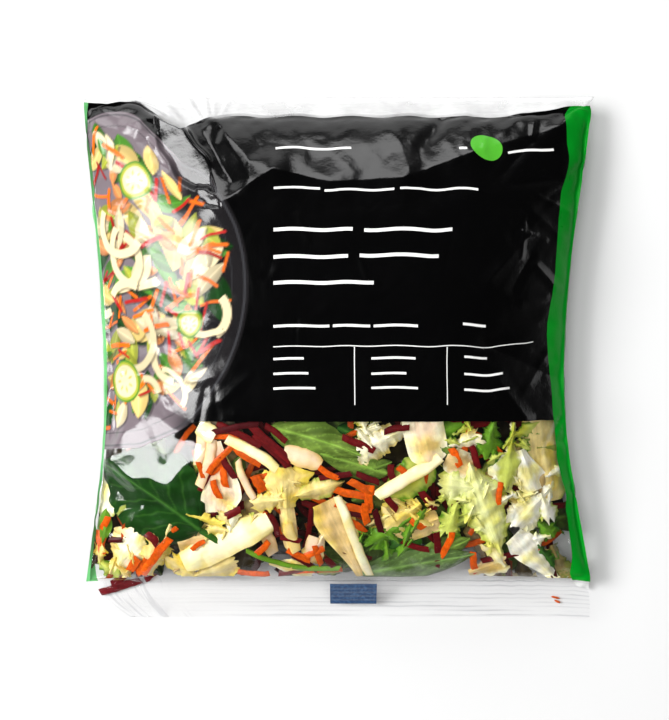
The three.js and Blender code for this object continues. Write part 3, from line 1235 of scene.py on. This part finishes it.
def lay_leaf(bag, food, line, width, shape, colours, rng, depth=1.0, bend=0.0, ruffle=0.0,
             waves=3.0, teeth=0.0, cup=1.0, edge_from=0.5, step=0.6):
    """One leaf from its base to its tip, pressed under the film.

    bend is its sideways bow, ruffle the height of its frilled edges, teeth how ragged its outline is,
    cup how far its edges curl down, and edge_from where the edge colour starts, from 0 at the midrib
    to 1.
    """
    length, place = line_frame(line[:2], line[2:])
    s, t = leaf_grid(int(clamp(length / step, 10, 64)), int(clamp(width / (step + 0.2), 9, 29)))
    half = width / 2 * leaf_profile(shape, s)
    left_saw, right_saw = (rough(rng, s, length / 5) for _ in range(2))
    reach = np.abs(t) ** 1.5
    half = half * (1 + 0.75 * teeth * np.where(t < 0, left_saw, right_saw) * reach)
    end = 1 + teeth * 5 / length * rough(rng, (t + 1) / 2, width / 3.2) * smooth((s - 0.5) / 0.5)
    frill = np.where(t < 0, ripple(rng, s, waves), ripple(rng, s, waves * 1.2))
    sideways = t * half + bend * 4 * s * (1 - s) + 0.35 * ruffle * reach * ripple(rng, s, waves * 1.3)
    forwards = s * length * end + 0.35 * ruffle * reach * ripple(rng, s, waves * 0.9)
    x, y = place(forwards, sideways)
    down = depth + cup * reach + ruffle * reach * (1 + frill) / 2
    down = down + 2.6 * crumple(rng, x, y, 5, 15) * mix(0.5, 1, np.abs(t))
    vein_place = t * width / 5 + 0.3 * ripple(rng, s, 1.5)
    veins = tent((vein_place % 1 * 2 - 1) / 0.4) * smooth(s / 0.2) * (1 - 0.5 * s)
    midrib = tent(t * half / 1.6) * (1 - s)
    down = down - 0.3 * veins - 0.6 * midrib
    middle, rim = (np.array(c) for c in colours)
    fade = smooth((np.abs(t) - edge_from + 0.3 * ripple(rng, s, 3) * np.abs(t) + 0.25 * (s - 0.5)) / 0.45)
    tint = mix(middle, rim, fade[..., None]) * (1 + 0.13 * ripple(rng, s + 0.4 * t, 2))[..., None]
    tint = mix(tint, np.minimum(1, 1.3 * tint + 0.03), (0.5 * np.maximum(veins, midrib))[..., None])
    places = np.stack([s * length / 10, t * width / 20], -1)
    food.add_leaf(bag.lay(x, y, down), tint, places, LEAF_THICKNESS)


def lay_spinach(bag, food, line, width, rng, colour, depth=1.0, bend=0.0, stalk=0.0):
    """A spinach leaf with a paler midrib and side veins, quilted between them."""
    length, place = line_frame(line[:2], line[2:])
    s, t = leaf_grid(int(length / 0.55), int(width / 0.6) | 1)
    half = width / 2 * leaf_profile("oval", s) * (1 + 0.05 * ripple(rng, s, 2) * np.abs(t))
    x, y = place(s * length, t * half + bend * 4 * s * (1 - s))
    vein_place = (s - 0.42 * np.abs(t) * (1 - 0.3 * s)) * 5.5 + 0.25 * ripple(rng, np.abs(t), 1)
    vein = tent((vein_place % 1 * 2 - 1) / 0.2) * smooth((1 - np.abs(t)) / 0.25)
    vein = vein * smooth((vein_place + 0.3) / 0.4)
    lines = np.maximum(tent(t * half / mix(1.2, 0.5, s)), 0.55 * vein)
    quilt = 0.35 * np.sin(math.pi * (vein_place % 1)) * np.sin(math.pi * clamp(np.abs(t)))
    down = depth + 2 * np.abs(t) ** 2 + 1.8 * crumple(rng, x, y, 9, 24) - quilt + 0.35 * lines
    pale = np.minimum(1, np.array(colour) * 2.4 + np.array([0.035, 0.07, 0.012]))
    patchy = (1 + 0.4 * ripple(rng, s - 0.5 * t, 1.5))[..., None]
    tint = mix(np.array(colour) * patchy, pale, (0.8 * lines)[..., None])
    places = np.stack([s * length / 10, t * width / 20], -1)
    food.add_leaf(bag.lay(x, y, np.maximum(down, 0)), tint, places, THIN_LEAF)
    if stalk:
        stem = (*place(-stalk), *line[:2])
        lay_strip(bag, food, stem, 2.8, 2.2, pale * 0.7, rng, depth=depth + 0.6, taper=0, square=0.7)


def boxed(wave, square):
    """A wave with its top flattened: square runs from 0 for a step to 1 for the wave itself."""
    return np.sign(wave) * np.abs(wave) ** square


def lay_strip(bag, food, line, width, height, colour, rng, depth=1.0, bend=0.0, taper=0.12, around=8,
              square=0.3, side=None):
    """A long solid, such as a shred, a stalk or a rib, from end to end under the film.

    square runs from 0 for a box-like section to 1 for a round one, and side is the colour of its flanks.
    """
    length, place = line_frame(line[:2], line[2:])
    s = np.linspace(0, 1, int(clamp(length / 1.6, 6, 40)) + 1)[:, None]
    turn = TAU * (np.arange(around)[None] + 0.5) / around
    size = (1 - taper * np.abs(2 * s - 1) ** 4) * (1 + 0.05 * ripple(rng, s, 2))
    edge_x = boxed(np.cos(turn), square) * width / 2 * size
    edge_z = boxed(np.sin(turn), square) * height / 2 * size
    cut = rng.uniform(-0.6, 0.6, 2) * min(1, 3 / width)
    forwards = s * length + np.where(s < 0.5, cut[0], cut[1]) * edge_x * np.abs(2 * s - 1) ** 3
    sideways = edge_x + bend * 4 * s * (1 - s) + 0.08 * min(width, 4) * ripple(rng, s, 1.2)
    x, y = place(forwards, sideways)
    spine = bag.lay(x.mean(1), y.mean(1), depth + height / 2)[:, 2:]
    inside = bag.lay(x, y, 0 * x)
    z = np.minimum(spine + edge_z, inside[..., 2])
    # The shade here varies the tone at random along the piece and holds painted light: the upper side 6%
    # lighter, the under side 6% darker.
    shade = (1 + 0.12 * ripple(rng, s + 0 * turn, 1.7) + 0.06 * np.sin(turn))[..., None]
    flank = np.abs(np.cos(turn))[..., None] ** 2 + 0 * shade
    tint = mix(np.array(colour), np.array(side or colour), flank)
    places = np.stack([s * length / 10 + 0 * turn, 0 * s + turn / TAU * width / 3], -1)
    food.add_tube(np.stack([inside[..., 0], inside[..., 1], z], -1), tint * shade, places)


# Colours of the salad, linear
DARK_SPINACH = (0.006, 0.042, 0.003)
MID_SPINACH = (0.13, 0.21, 0.032)
# A greyish spinach green darkened with painted shade, for the low leaf by the bottom seam.
LOW_SPINACH_PAINTED_SHADE = (0.10, 0.17, 0.045)
CREAM = (0.85, 0.66, 0.26)
IVORY = (0.95, 0.87, 0.59)
# A whiter ivory for the leaves on the right side: painted light, making up for the weaker light the lamps
# give there.
RIGHT_IVORY_PAINTED_LIGHT = (0.99, 0.94, 0.76)
BLUSH = (0.86, 0.64, 0.44)
TAN = (0.70, 0.49, 0.21)
YELLOW = (0.84, 0.66, 0.11)
LIME = (0.53, 0.59, 0.11)
PALE_LIME = (0.80, 0.82, 0.36)
LEAF_GREEN = (0.12, 0.28, 0.015)
CURLY_GREEN = (0.03, 0.12, 0.010)
CARROT = (0.64, 0.088, 0.002)
BEET = (0.055, 0.003, 0.005)
BEET_RED = (0.125, 0.003, 0.004)
CORNER_BEET = (0.15, 0.0, 0.004)
# The heap's two colours are painted shade: near black, so that the gaps between the leaves look deep in
# shade.
CORE_DEEP_PAINTED_SHADE = (0.003, 0.002, 0.001)
CORE_SOFT_PAINTED_SHADE = (0.03, 0.022, 0.007)

# Leaves that can be told apart: base x, y, tip x, y, width, shape, colour at the midrib, at the edge
# and look
LEAVES = [
    (-20, -84, -22.5, -62, 7, "strip", CREAM, TAN, dict(depth=1.8, cup=1.2)),
    (-22, -65, -24, -47.5, 25, "fan", CREAM, YELLOW, dict(depth=0.8, ruffle=2.5, waves=1.6, teeth=0.2)),
    (-19, -60, 3, -53.5, 10, "pointed", CREAM, LIME, dict(depth=0.9, cup=2, ruffle=1.5)),
    (-22, -61, -37, -63, 11, "fan", CREAM, YELLOW, dict(depth=0.6, ruffle=2, teeth=0.6)),
    (-24, -58, -23, -50, 5, "fan", YELLOW, LIME, dict(depth=0.2, ruffle=2, teeth=1.0)),
    (11, -96, -5, -62, 18, "fan", TAN, CREAM, dict(depth=0.7, cup=1.6, edge_from=0.6)),
    (-53, -36, -51, -67, 18, "fan", BLUSH, IVORY, dict(depth=3.2, cup=-1.8, bend=1.5)),
    (-99, -95, -88, -77, 20, "fan", IVORY, CREAM, dict(depth=1.2, ruffle=2.5, teeth=0.3)),
    (-84, -96, -80, -78, 17, "fan", CREAM, YELLOW, dict(depth=1.6, ruffle=3, teeth=0.3, waves=4)),
    (-66, -68, -49, -73, 7, "fan", YELLOW, YELLOW, dict(depth=0.5, ruffle=2, teeth=1.0)),
    (-47, -76, -45, -66, 7, "fan", IVORY, IVORY, dict(depth=1.0, teeth=0.8)),
    (-70, -81, -50, -77, 14, "strip", TAN, CREAM, dict(depth=2.6)),
    (-64, -97, -46, -90, 13, "fan", CREAM, YELLOW, dict(depth=1.5, ruffle=2, teeth=0.7)),
    (30, -30, 8, -41, 16, "fan", IVORY, CREAM, dict(depth=1.2, ruffle=3, teeth=0.6, edge_from=0.6)),
    (35, -20, 40, -45, 18, "strip", BLUSH, IVORY, dict(depth=0.7, cup=0.6, edge_from=0.3)),
    (48, -38, 62, -35, 10, "fan", IVORY, CREAM, dict(depth=1.2, ruffle=2, teeth=0.7)),
    (42, -44, 20, -62, 17, "oval", LIME, LEAF_GREEN, dict(depth=2.4, ruffle=2, edge_from=0.5)),
    (36, -63, 21, -74, 16, "fan", CREAM, YELLOW, dict(depth=0.9, ruffle=3.5, teeth=0.9, waves=4)),
    (44, -70, 22, -77, 12, "strip", TAN, CREAM, dict(depth=2.6)),
    (57, -45, 72, -86, 20, "pointed", PALE_LIME, LIME, dict(depth=0.6, ruffle=3, teeth=0.4, waves=5)),
    (64, -57, 45, -55, 19, "fan", PALE_LIME, LIME, dict(depth=1.3, ruffle=3, teeth=0.6, waves=4)),
    (52, -63, 47, -79, 15, "fan", LIME, LEAF_GREEN, dict(depth=1.5, ruffle=3.5, teeth=0.9, waves=4)),
    (47, -43, 60, -49, 12, "strip", TAN, IVORY, dict(depth=1.0, cup=2)),
    (77, -28, 73, -57, 15, "stalked", LIME, RIGHT_IVORY_PAINTED_LIGHT, dict(depth=0.8, ruffle=2.5, teeth=0.8)),
    (76, -34, 86, -30, 8, "fan", LIME, LEAF_GREEN, dict(depth=1.2, ruffle=2, teeth=1.0)),
    (80, -40, 87, -58, 14, "fan", RIGHT_IVORY_PAINTED_LIGHT, RIGHT_IVORY_PAINTED_LIGHT, dict(depth=0.7, cup=1.5)),
    (88, -22, 94, -63, 18, "strip", CREAM, LIME, dict(depth=2.4, cup=1.5, edge_from=0.7)),
    (93, -57, 78, -74, 17, "fan", RIGHT_IVORY_PAINTED_LIGHT, IVORY, dict(depth=0.9, ruffle=2.5, teeth=0.5)),
    (89, -59, 94, -72, 11, "fan", RIGHT_IVORY_PAINTED_LIGHT, LIME, dict(depth=0.6, ruffle=2, teeth=0.7)),
    (98, -99, 77, -78, 13, "fan", RIGHT_IVORY_PAINTED_LIGHT, RIGHT_IVORY_PAINTED_LIGHT, dict(depth=0.6, cup=1.2)),
    (74, -92, 66, -82, 9, "fan", IVORY, CREAM, dict(depth=1.3, teeth=0.9)),
    (-102, -70, -101, -45, 9, "strip", IVORY, LIME, dict(depth=2.0, teeth=0.4)),
    (-30, -90, -12, -94, 8, "fan", CREAM, IVORY, dict(depth=1.6, teeth=0.5)),
    (-6, -77, -12, -89, 10, "fan", BLUSH, CREAM, dict(depth=2.2, teeth=0.4)),
    (58, -95, 74, -90, 10, "fan", TAN, IVORY, dict(depth=2.0, teeth=0.5)),
    (96, -97, 86, -84, 10, "fan", PALE_LIME, IVORY, dict(depth=2.4, ruffle=2, teeth=0.5)),
    (-62, -98, -74, -88, 10, "fan", CREAM, YELLOW, dict(depth=2.0, ruffle=2, teeth=0.5)),
]
CURLY_LEAVES = [
    (33, -69, 13, -82, 16, "fan", LEAF_GREEN, CURLY_GREEN, dict(depth=1.8, ruffle=4, teeth=0.9, waves=4)),
    (20, -76, 34, -86, 15, "fan", CURLY_GREEN, CURLY_GREEN, dict(depth=2.6, ruffle=4, teeth=1.0)),
    (68, -27, 64, -44, 18, "fan", LEAF_GREEN, CURLY_GREEN, dict(depth=1.6, ruffle=4, teeth=1.0, waves=4)),
    (88, -72, 97, -80, 12, "fan", LEAF_GREEN, CURLY_GREEN, dict(depth=1.6, ruffle=3, teeth=0.9)),
    (88, -82, 96, -92, 9, "fan", CURLY_GREEN, LEAF_GREEN, dict(depth=1.2, ruffle=3, teeth=1.0)),
    (40, -34, 52, -29, 12, "fan", LEAF_GREEN, CURLY_GREEN, dict(depth=3.0, ruffle=3, teeth=0.9)),
    (57, -58, 62, -68, 12, "fan", LEAF_GREEN, CURLY_GREEN, dict(depth=2.8, ruffle=3, teeth=0.9)),
    (-106, -90, -96, -97, 9, "fan", LIME, LEAF_GREEN, dict(depth=1.2, ruffle=2, teeth=0.6)),
    (-104, -82, -102, -66, 7, "pointed", LEAF_GREEN, LEAF_GREEN, dict(depth=1.0)),
]

# Where small frilled tips lie loose on top: middle x, y, how far they stray from it in x, y, how many,
# and their two colours
CURLS = [
    (84, -62, 12, 14, 9, RIGHT_IVORY_PAINTED_LIGHT, PALE_LIME),
    (62, -62, 9, 16, 8, PALE_LIME, LIME),
    (68, -36, 16, 6, 8, LIME, LEAF_GREEN),
    (30, -66, 14, 7, 7, CREAM, YELLOW),
    (12, -33, 12, 5, 6, IVORY, LIME),
    (26, -82, 14, 5, 7, LEAF_GREEN, CURLY_GREEN),
    (-90, -88, 12, 7, 7, CREAM, YELLOW),
    (-52, -74, 10, 5, 5, CREAM, LIME),
    (-22, -54, 8, 5, 5, CREAM, YELLOW),
]

# Spinach leaves: base x, y, tip x, y, width, colour and look
SPINACH = [
    (-60, -75, -104, -46, 40, DARK_SPINACH, dict(depth=0.7, bend=-1, stalk=12)),
    (-64, -48, -97, -43, 17, DARK_SPINACH, dict(depth=2.2, bend=1)),
    (-29, -30, 10, -42, 17, MID_SPINACH, dict(depth=1.3, bend=1)),
    (22, -50, -8, -41, 12, MID_SPINACH, dict(depth=2.4)),
    (10, -95, 60, -86, 14, LOW_SPINACH_PAINTED_SHADE, dict(depth=0.8)),
    (34, -90, 58, -79, 12, MID_SPINACH, dict(depth=2.0)),
    (0, -30, 14, -36, 9, DARK_SPINACH, dict(depth=4.0)),
]

# Thick ribs and stalks: start x, y, end x, y, width, height, colour and look
RIBS = [
    (-68, -90, -29.5, -70.5, 13.6, 8, IVORY, dict(depth=0.3, taper=0.3)),
    (-58, -31, -60, -46, 5, 3, BLUSH, dict(depth=1.5)),
    (-54, -35, -60, -56, 5, 3, BLUSH, dict(depth=1.8, bend=1)),
    (-60, -29, -53, -34, 8, 3, IVORY, dict(depth=0.8)),
    (-48, -35, -26, -48, 5, 2.6, IVORY, dict(depth=1.0, bend=1.2)),
    (-43, -44, -36, -61, 3.4, 2.2, BLUSH, dict(depth=1.0, bend=-1)),
    (-23, -40, -7, -46, 8.5, 3, BLUSH, dict(depth=1.2, taper=0.5)),
    (44.5, -43, 17, -60, 6, 3, IVORY, dict(depth=0.5, taper=0.2)),
    (0, -60, 14, -96, 4.4, 2.6, IVORY, dict(depth=0.3, taper=0.2)),
    (-22, -72, -18, -85, 5, 2, CREAM, dict(depth=1.2)),
    (-33, -72, -28, -86, 6, 2, BLUSH, dict(depth=3.2)),
    (-10, -78, -14, -92, 6, 2, BLUSH, dict(depth=3.0)),
    (-40, -84, -20, -91.5, 2.4, 2.2, LEAF_GREEN, dict(depth=0.4, bend=-0.8, taper=0.0)),
    (-20, -91.5, 1, -92.5, 2.6, 2.2, LEAF_GREEN, dict(depth=0.4, bend=-0.6, taper=0.0)),
]

# Grated root: start x, y, end x, y and width
CARROTS = [
    (-56, -50, -45, -38, 2.8), (-45, -38, -33, -46, 3.4), (-56, -50, -49, -43, 4.2),
    (-54, -53, -51, -61, 3.0), (-49, -47, -48, -56, 3.2), (-58, -34, -40, -33, 2.4),
    (-36, -51, -32.5, -58, 4.6), (-1, -57, 13, -60, 3.4), (5, -53, 16, -58, 3.4),
    (14.5, -55, 14, -66, 3.6), (-1, -63, 15, -66, 3.2), (12, -63, 13, -72, 3.4), (1, -52, -8, -47, 2.8),
    (3, -70, 12, -76, 3.0), (-15, -87, -6, -83, 3.0), (-22, -84, -12, -89, 3.0),
    (-10, -82, -7, -91, 2.8), (-19, -94, 2, -93, 2.4), (-106, -76, -103.5, -87, 3.2),
    (-105, -86, -103, -79, 2.6), (-86, -96, -73, -79, 3.8), (-89, -95, -77, -83, 4.4),
    (-92, -94, -88, -88, 4.0), (49, -39, 53, -47, 3.4), (71, -54, 70, -64, 2.6),
    (50, -76, 45, -87, 3.0), (59.5, -85, 61.5, -95, 3.2), (84, -80, 88, -85, 3.4),
    (32, -70, 38, -74, 3.6), (26, -47, 30, -52, 3.0), (-64, -84, -58, -80, 2.2),
    (-30, -80, -36, -86, 3.0), (-44, -94, -30, -95, 2.4), (-62, -40, -58, -52, 2.4),
    (-76, -80, -70, -74, 2.4), (-101, -70, -104, -76, 3.0),
]
BEETS = [
    (-56, -33, -34, -28.5, 2.8), (-52, -28, -33, -38, 3.0), (-39, -28, -20, -45, 3.6),
    (-36, -33, -21, -47, 3.2), (-31, -29, -22, -36, 2.8), (-50, -42, -44, -52, 3.0),
    (-60, -58, -54, -48, 2.6), (-1, -66, 14, -68, 3.0), (8, -50, 18, -54, 2.8), (16, -66, 19, -76, 3.0),
    (-5, -88, -1, -93, 3.0), (-26, -95, -15, -93, 3.0), (-25, -78, -16, -80, 2.6),
    (-29, -68, -26, -78, 2.6), (-20, -86, -8, -94, 2.6), (43, -76, 43.5, -92, 3.2),
    (58, -38, 61, -48, 3.0), (23, -46, 25, -54, 3.2), (20, -58, 26, -66, 3.0), (31, -30, 20, -32, 3.0),
    (2, -34, 16, -40, 3.2), (-84, -77, -79, -82, 3.6), (-101, -80, -95, -80, 2.6),
    (-50, -70, -42, -66, 3.4), (36, -58, 42, -66, 3.4), (-8, -52, 6, -50, 2.6), (28, -80, 40, -84, 2.6),
]
CORNER_CARROTS = [(95.5, -106.6, 99.4, -107.4, 0.9), (97, -108.2, 99.6, -109.4, 1.0)]
CORNER_BEETS = [(-106, -104.5, -88, -99, 3.4), (-101, -101, -92, -95, 3.2), (-86, -99, -79, -93.5, 3.2)]


def lay_named(bag, kinds, rng):
    """The pieces that can be told apart in the window."""
    spinach, frisee, curly, rib, carrot, beet = kinds
    for *line, width, colour, look in SPINACH:
        lay_spinach(bag, spinach, line, width, rng, colour, **look)
    for food, leaves in ((frisee, LEAVES), (curly, CURLY_LEAVES)):
        for *line, width, shape, middle, rim, look in leaves:
            lay_leaf(bag, food, line, width, shape, (middle, rim), rng, **look)
    for *line, width, height, colour, look in RIBS:
        flank = tuple(np.array(colour) * (0.92, 0.82, 0.5))
        lay_strip(bag, rib, line, width, height, colour, rng, around=16, square=0.85, side=flank, **look)
    for food, shreds, colours in ((carrot, CARROTS, (CARROT, CARROT)), (beet, BEETS, (BEET, BEET_RED))):
        for *line, width in shreds:
            tone = mix(np.array(colours[0]), np.array(colours[1]), rng.uniform()) * rng.uniform(0.85, 1.15)
            depth = rng.uniform(0.8, 2.6)
            lay_strip(bag, food, line, width, 1.9, tone, rng, depth=depth, bend=rng.uniform(-0.8, 0.8))


def random_line(rng, x, y, shortest, longest):
    """A line from x, y in any direction, and its length."""
    angle, length = rng.uniform(0, TAU), rng.uniform(shortest, longest)
    return (x, y, x + length * math.cos(angle), y + length * math.sin(angle)), length


def lay_curls(bag, kinds, rng):
    """Small frilled tips of leaf lying close under the film."""
    _, frisee, *_ = kinds
    for middle_x, middle_y, stray_x, stray_y, count, *colours in CURLS:
        for _ in range(count):
            x, y = middle_x + stray_x * rng.normal(0, 0.6), middle_y + stray_y * rng.normal(0, 0.6)
            line, length = random_line(rng, x, y, 5, 11)
            look = {"depth": rng.uniform(0.3, 1.4), "ruffle": 2.5, "teeth": 0.8, "waves": 2, "step": 0.5}
            lay_leaf(bag, frisee, line, length * rng.uniform(0.5, 0.8), "fan", colours, rng, **look)


def lay_scattered_leaf(bag, kinds, rng, layer, light, longest):
    spinach, frisee, curly, *_ = kinds
    x, y = rng.uniform(-98, 96), rng.uniform(-96, -18)
    line, length = random_line(rng, x, y, 0.6 * longest, longest)
    pick, depth, width = rng.uniform(), layer + rng.uniform(-1.5, 1.5), length * rng.uniform(0.45, 0.65)
    # light is the painted shade of the leaf's layer: it multiplies every colour below.
    if pick < 0.5:
        pair = np.array(((CREAM, LIME), (BLUSH, IVORY), (TAN, CREAM))[int(pick * 6) % 3]) * light
        lay_leaf(bag, frisee, line, width, "fan", pair, rng, depth=depth, ruffle=2.5, teeth=0.4, step=1)
    elif pick < 0.8:
        pair = np.array((LIME, CURLY_GREEN)) * light
        lay_leaf(bag, curly, line, width, "fan", pair, rng, depth=depth, ruffle=3, teeth=0.7, step=1)
    else:
        lay_spinach(bag, spinach, line, width, rng, np.array(MID_SPINACH) * light, depth)


def lay_scattered_shred(bag, food, rng, colour):
    x, y = rng.uniform(-100, 96), rng.uniform(-96, -22)
    line, _ = random_line(rng, x, y, 10, 24)
    width, depth = rng.uniform(2.2, 3.2), rng.uniform(3.5, 8)
    # Deeper shreds are darker: painted shade down to 0.3 of the colour at 8 mm deep, on top of a random
    # tone.
    tone = np.array(colour) * rng.uniform(0.5, 1.0) * mix(1, 0.3, (depth - 3.5) / 4.5)
    lay_strip(bag, food, line, width, 1.8, tone, rng, depth=depth, bend=rng.uniform(-2, 2))


def lay_scattered(bag, kinds, rng):
    """Leaves and shreds strewn in layers under the named ones, with painted shade: their colours are darker
    where they lie deeper.
    """
    # The third number of each layer scales its colours as painted shade: 0.62 for the upper layer, 0.28 and
    # 0.06 for the deeper ones.
    for layer, count, light, longest in ((8.5, 36, 0.06, 32), (5.0, 30, 0.28, 32), (3.4, 34, 0.62, 15)):
        for _ in range(count):
            lay_scattered_leaf(bag, kinds, rng, layer, light, longest)
    *_, carrot, beet = kinds
    for food, colour, count in ((carrot, CARROT, 44), (beet, BEET_RED, 70)):
        for _ in range(count):
            lay_scattered_shred(bag, food, rng, colour)


def lay_corner(kinds, rng):
    """The beet caught under the gathered corner of the bottom seal, and a scrap of carrot at its right."""
    *_, carrot, beet = kinds
    pocket = SealPocket()
    for *line, width in CORNER_BEETS:
        tone = np.array(CORNER_BEET) * rng.uniform(0.6, 1.4)
        lay_strip(pocket, beet, line, width, 1.5, tone, rng, depth=0.9, bend=rng.uniform(-0.5, 0.5))
    for *line, width in CORNER_CARROTS:
        lay_strip(pocket, carrot, line, width, 0.8, np.array(CARROT), rng, depth=1.6, taper=0.8)


def lay_core(bag, rng):
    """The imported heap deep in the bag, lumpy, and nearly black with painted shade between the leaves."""
    food = Food()
    s, lift = np.meshgrid(np.linspace(-0.95, 0.95, 145), np.linspace(0, 1, 137))
    w = mix(-0.9 + 0.2 * smooth((s - 0.4) / 0.5), 0.95, lift)
    x, y = outline_place(s, w)
    rim = np.maximum(np.abs(s), np.abs(w))
    top = bag.lay(x, y, 9 + 5 * crumple(rng, x, y, 9, 30) + 14 * smooth((rim - 0.84) / 0.12))
    # Lighter and darker patches of painted shade over the heap.
    patches = smooth(crumple(rng, x, y, 4, 14)[..., None])
    colour = mix(np.array(CORE_DEEP_PAINTED_SHADE), np.array(CORE_SOFT_PAINTED_SHADE), patches)
    food.add_leaf(top, colour, np.stack([x / 10, y / 10], -1), THIN_LEAF)
    return food


def make_contents(film):
    bag = Bag(film)
    rng = np.random.default_rng(7)
    kinds = [Food() for _ in range(6)]
    lay_named(bag, kinds, rng)
    lay_curls(bag, kinds, rng)
    lay_scattered(bag, kinds, rng)
    lay_corner(kinds, rng)
    green = food_material("spinach_leaf", 0.42, 500, (2, 2, 1), 0.16, (0.75, 0.8, 0.7), wet=0.05)
    pale = food_material("frisee_leaf", 0.42, 420, (0.35, 7, 1), 0.13, (0.94, 0.87, 0.40), wet=0.2)
    stalk = food_material("leaf_rib", 0.42, 420, (0.3, 4, 1), 0.09, (0.96, 0.92, 0.60), wet=0.2)
    root = food_material("grated_root", 0.38, 700, (0.5, 6, 1), 0.35, (1.12, 1.2, 1.0), wet=0.15)
    lay_core(bag, rng).make("packed_heap", pale, "spinach")
    looks = (
        ("spinach_leaves", green, "spinach"),
        ("frisee_leaves", pale, "frisee"),
        ("curly_leaves", green, "frisee"),
        ("leaf_ribs", stalk, "frisee"),
        ("carrot_shreds", root, "carrot"),
        ("beet_shreds", root, "beet"),
    )
    for food, look in zip(kinds, looks):
        food.make(*look)


# Floor, lights and camera


def make_floor():
    floor = new_object("floor", *square(3))
    material, tree = new_material("pale_floor")
    colour = colour_mix(tree, noise(tree, 6), (0.69, 0.69, 0.69), (0.71, 0.71, 0.71))
    finish_surface(tree, add_node(tree, "BsdfPrincipled", {"Base Color": colour, "Roughness": 0.75}))
    floor.data.materials.append(material)


def make_light(name, place, size, power, in_gloss=True):
    light = bpy.data.lights.new(name, "AREA")
    light.shape = "RECTANGLE"
    light.size, light.size_y = size
    light.energy = power
    lamp = bpy.data.objects.new(name, light)
    lamp.location = place
    lamp.rotation_euler = (-Vector(place)).to_track_quat("-Z", "Y").to_euler()
    lamp.visible_glossy = in_gloss
    bpy.context.scene.collection.objects.link(lamp)


def make_world():
    """A dim studio: dark overhead, brighter towards the horizon, and pale where the camera sees it."""
    world = bpy.data.worlds.new("studio")
    bpy.context.scene.world = world
    world.use_nodes = True
    tree = world.node_tree
    tree.nodes.clear()
    direction = add_node(tree, "TexCoord").outputs["Generated"]
    height = add_node(tree, "SeparateXYZ", {0: direction}).outputs[2]
    glow = remap(tree, height, 0.0, 0.6, 0.10, 0.02)
    seen = add_node(tree, "LightPath").outputs["Is Camera Ray"]
    strength = math_node(tree, "MAXIMUM", glow, math_node(tree, "MULTIPLY", seen, 0.86))
    back = add_node(tree, "Background", {"Color": (1, 1, 1, 1), "Strength": strength})
    add_node(tree, "OutputWorld", {"Surface": back.outputs[0]})


def make_camera():
    """Straight above the bag, far enough for the photograph's flat perspective."""
    image_height = 318.2
    distance = 1.1
    data = bpy.data.cameras.new("camera")
    data.sensor_width = 36
    data.lens = 36 * distance / (image_height * MM)
    camera = bpy.data.objects.new("camera", data)
    camera.location = (-0.0013, -0.0009, distance + 0.013)
    bpy.context.scene.collection.objects.link(camera)
    bpy.context.scene.camera = camera


def make_studio():
    make_floor()
    make_world()
    make_light("key", (-1.39, 0.23, 1.17), (0.65, 0.75), 22)
    make_light("side", (-1.27, 0.18, 1.27), (1.0, 1.0), 20, in_gloss=False)
    make_light("back", (-0.42, 1.88, 0.84), (1.75, 0.9), 19)
    make_light("fill", (0.0, -0.10, 1.6), (1.4, 1.4), 18.5, in_gloss=False)
    make_camera()
    bpy.context.scene.view_settings.view_transform = "Standard"
    bpy.context.scene.view_settings.look = "None"


def main():
    above, below = solid_heights()
    grids = fit_to_solid(simulate(FILLED_VOLUME), above, below)
    film = Film(grids)
    FilmPieces(film).make()
    make_seals(film)
    make_contents(film)
    make_studio()


main()
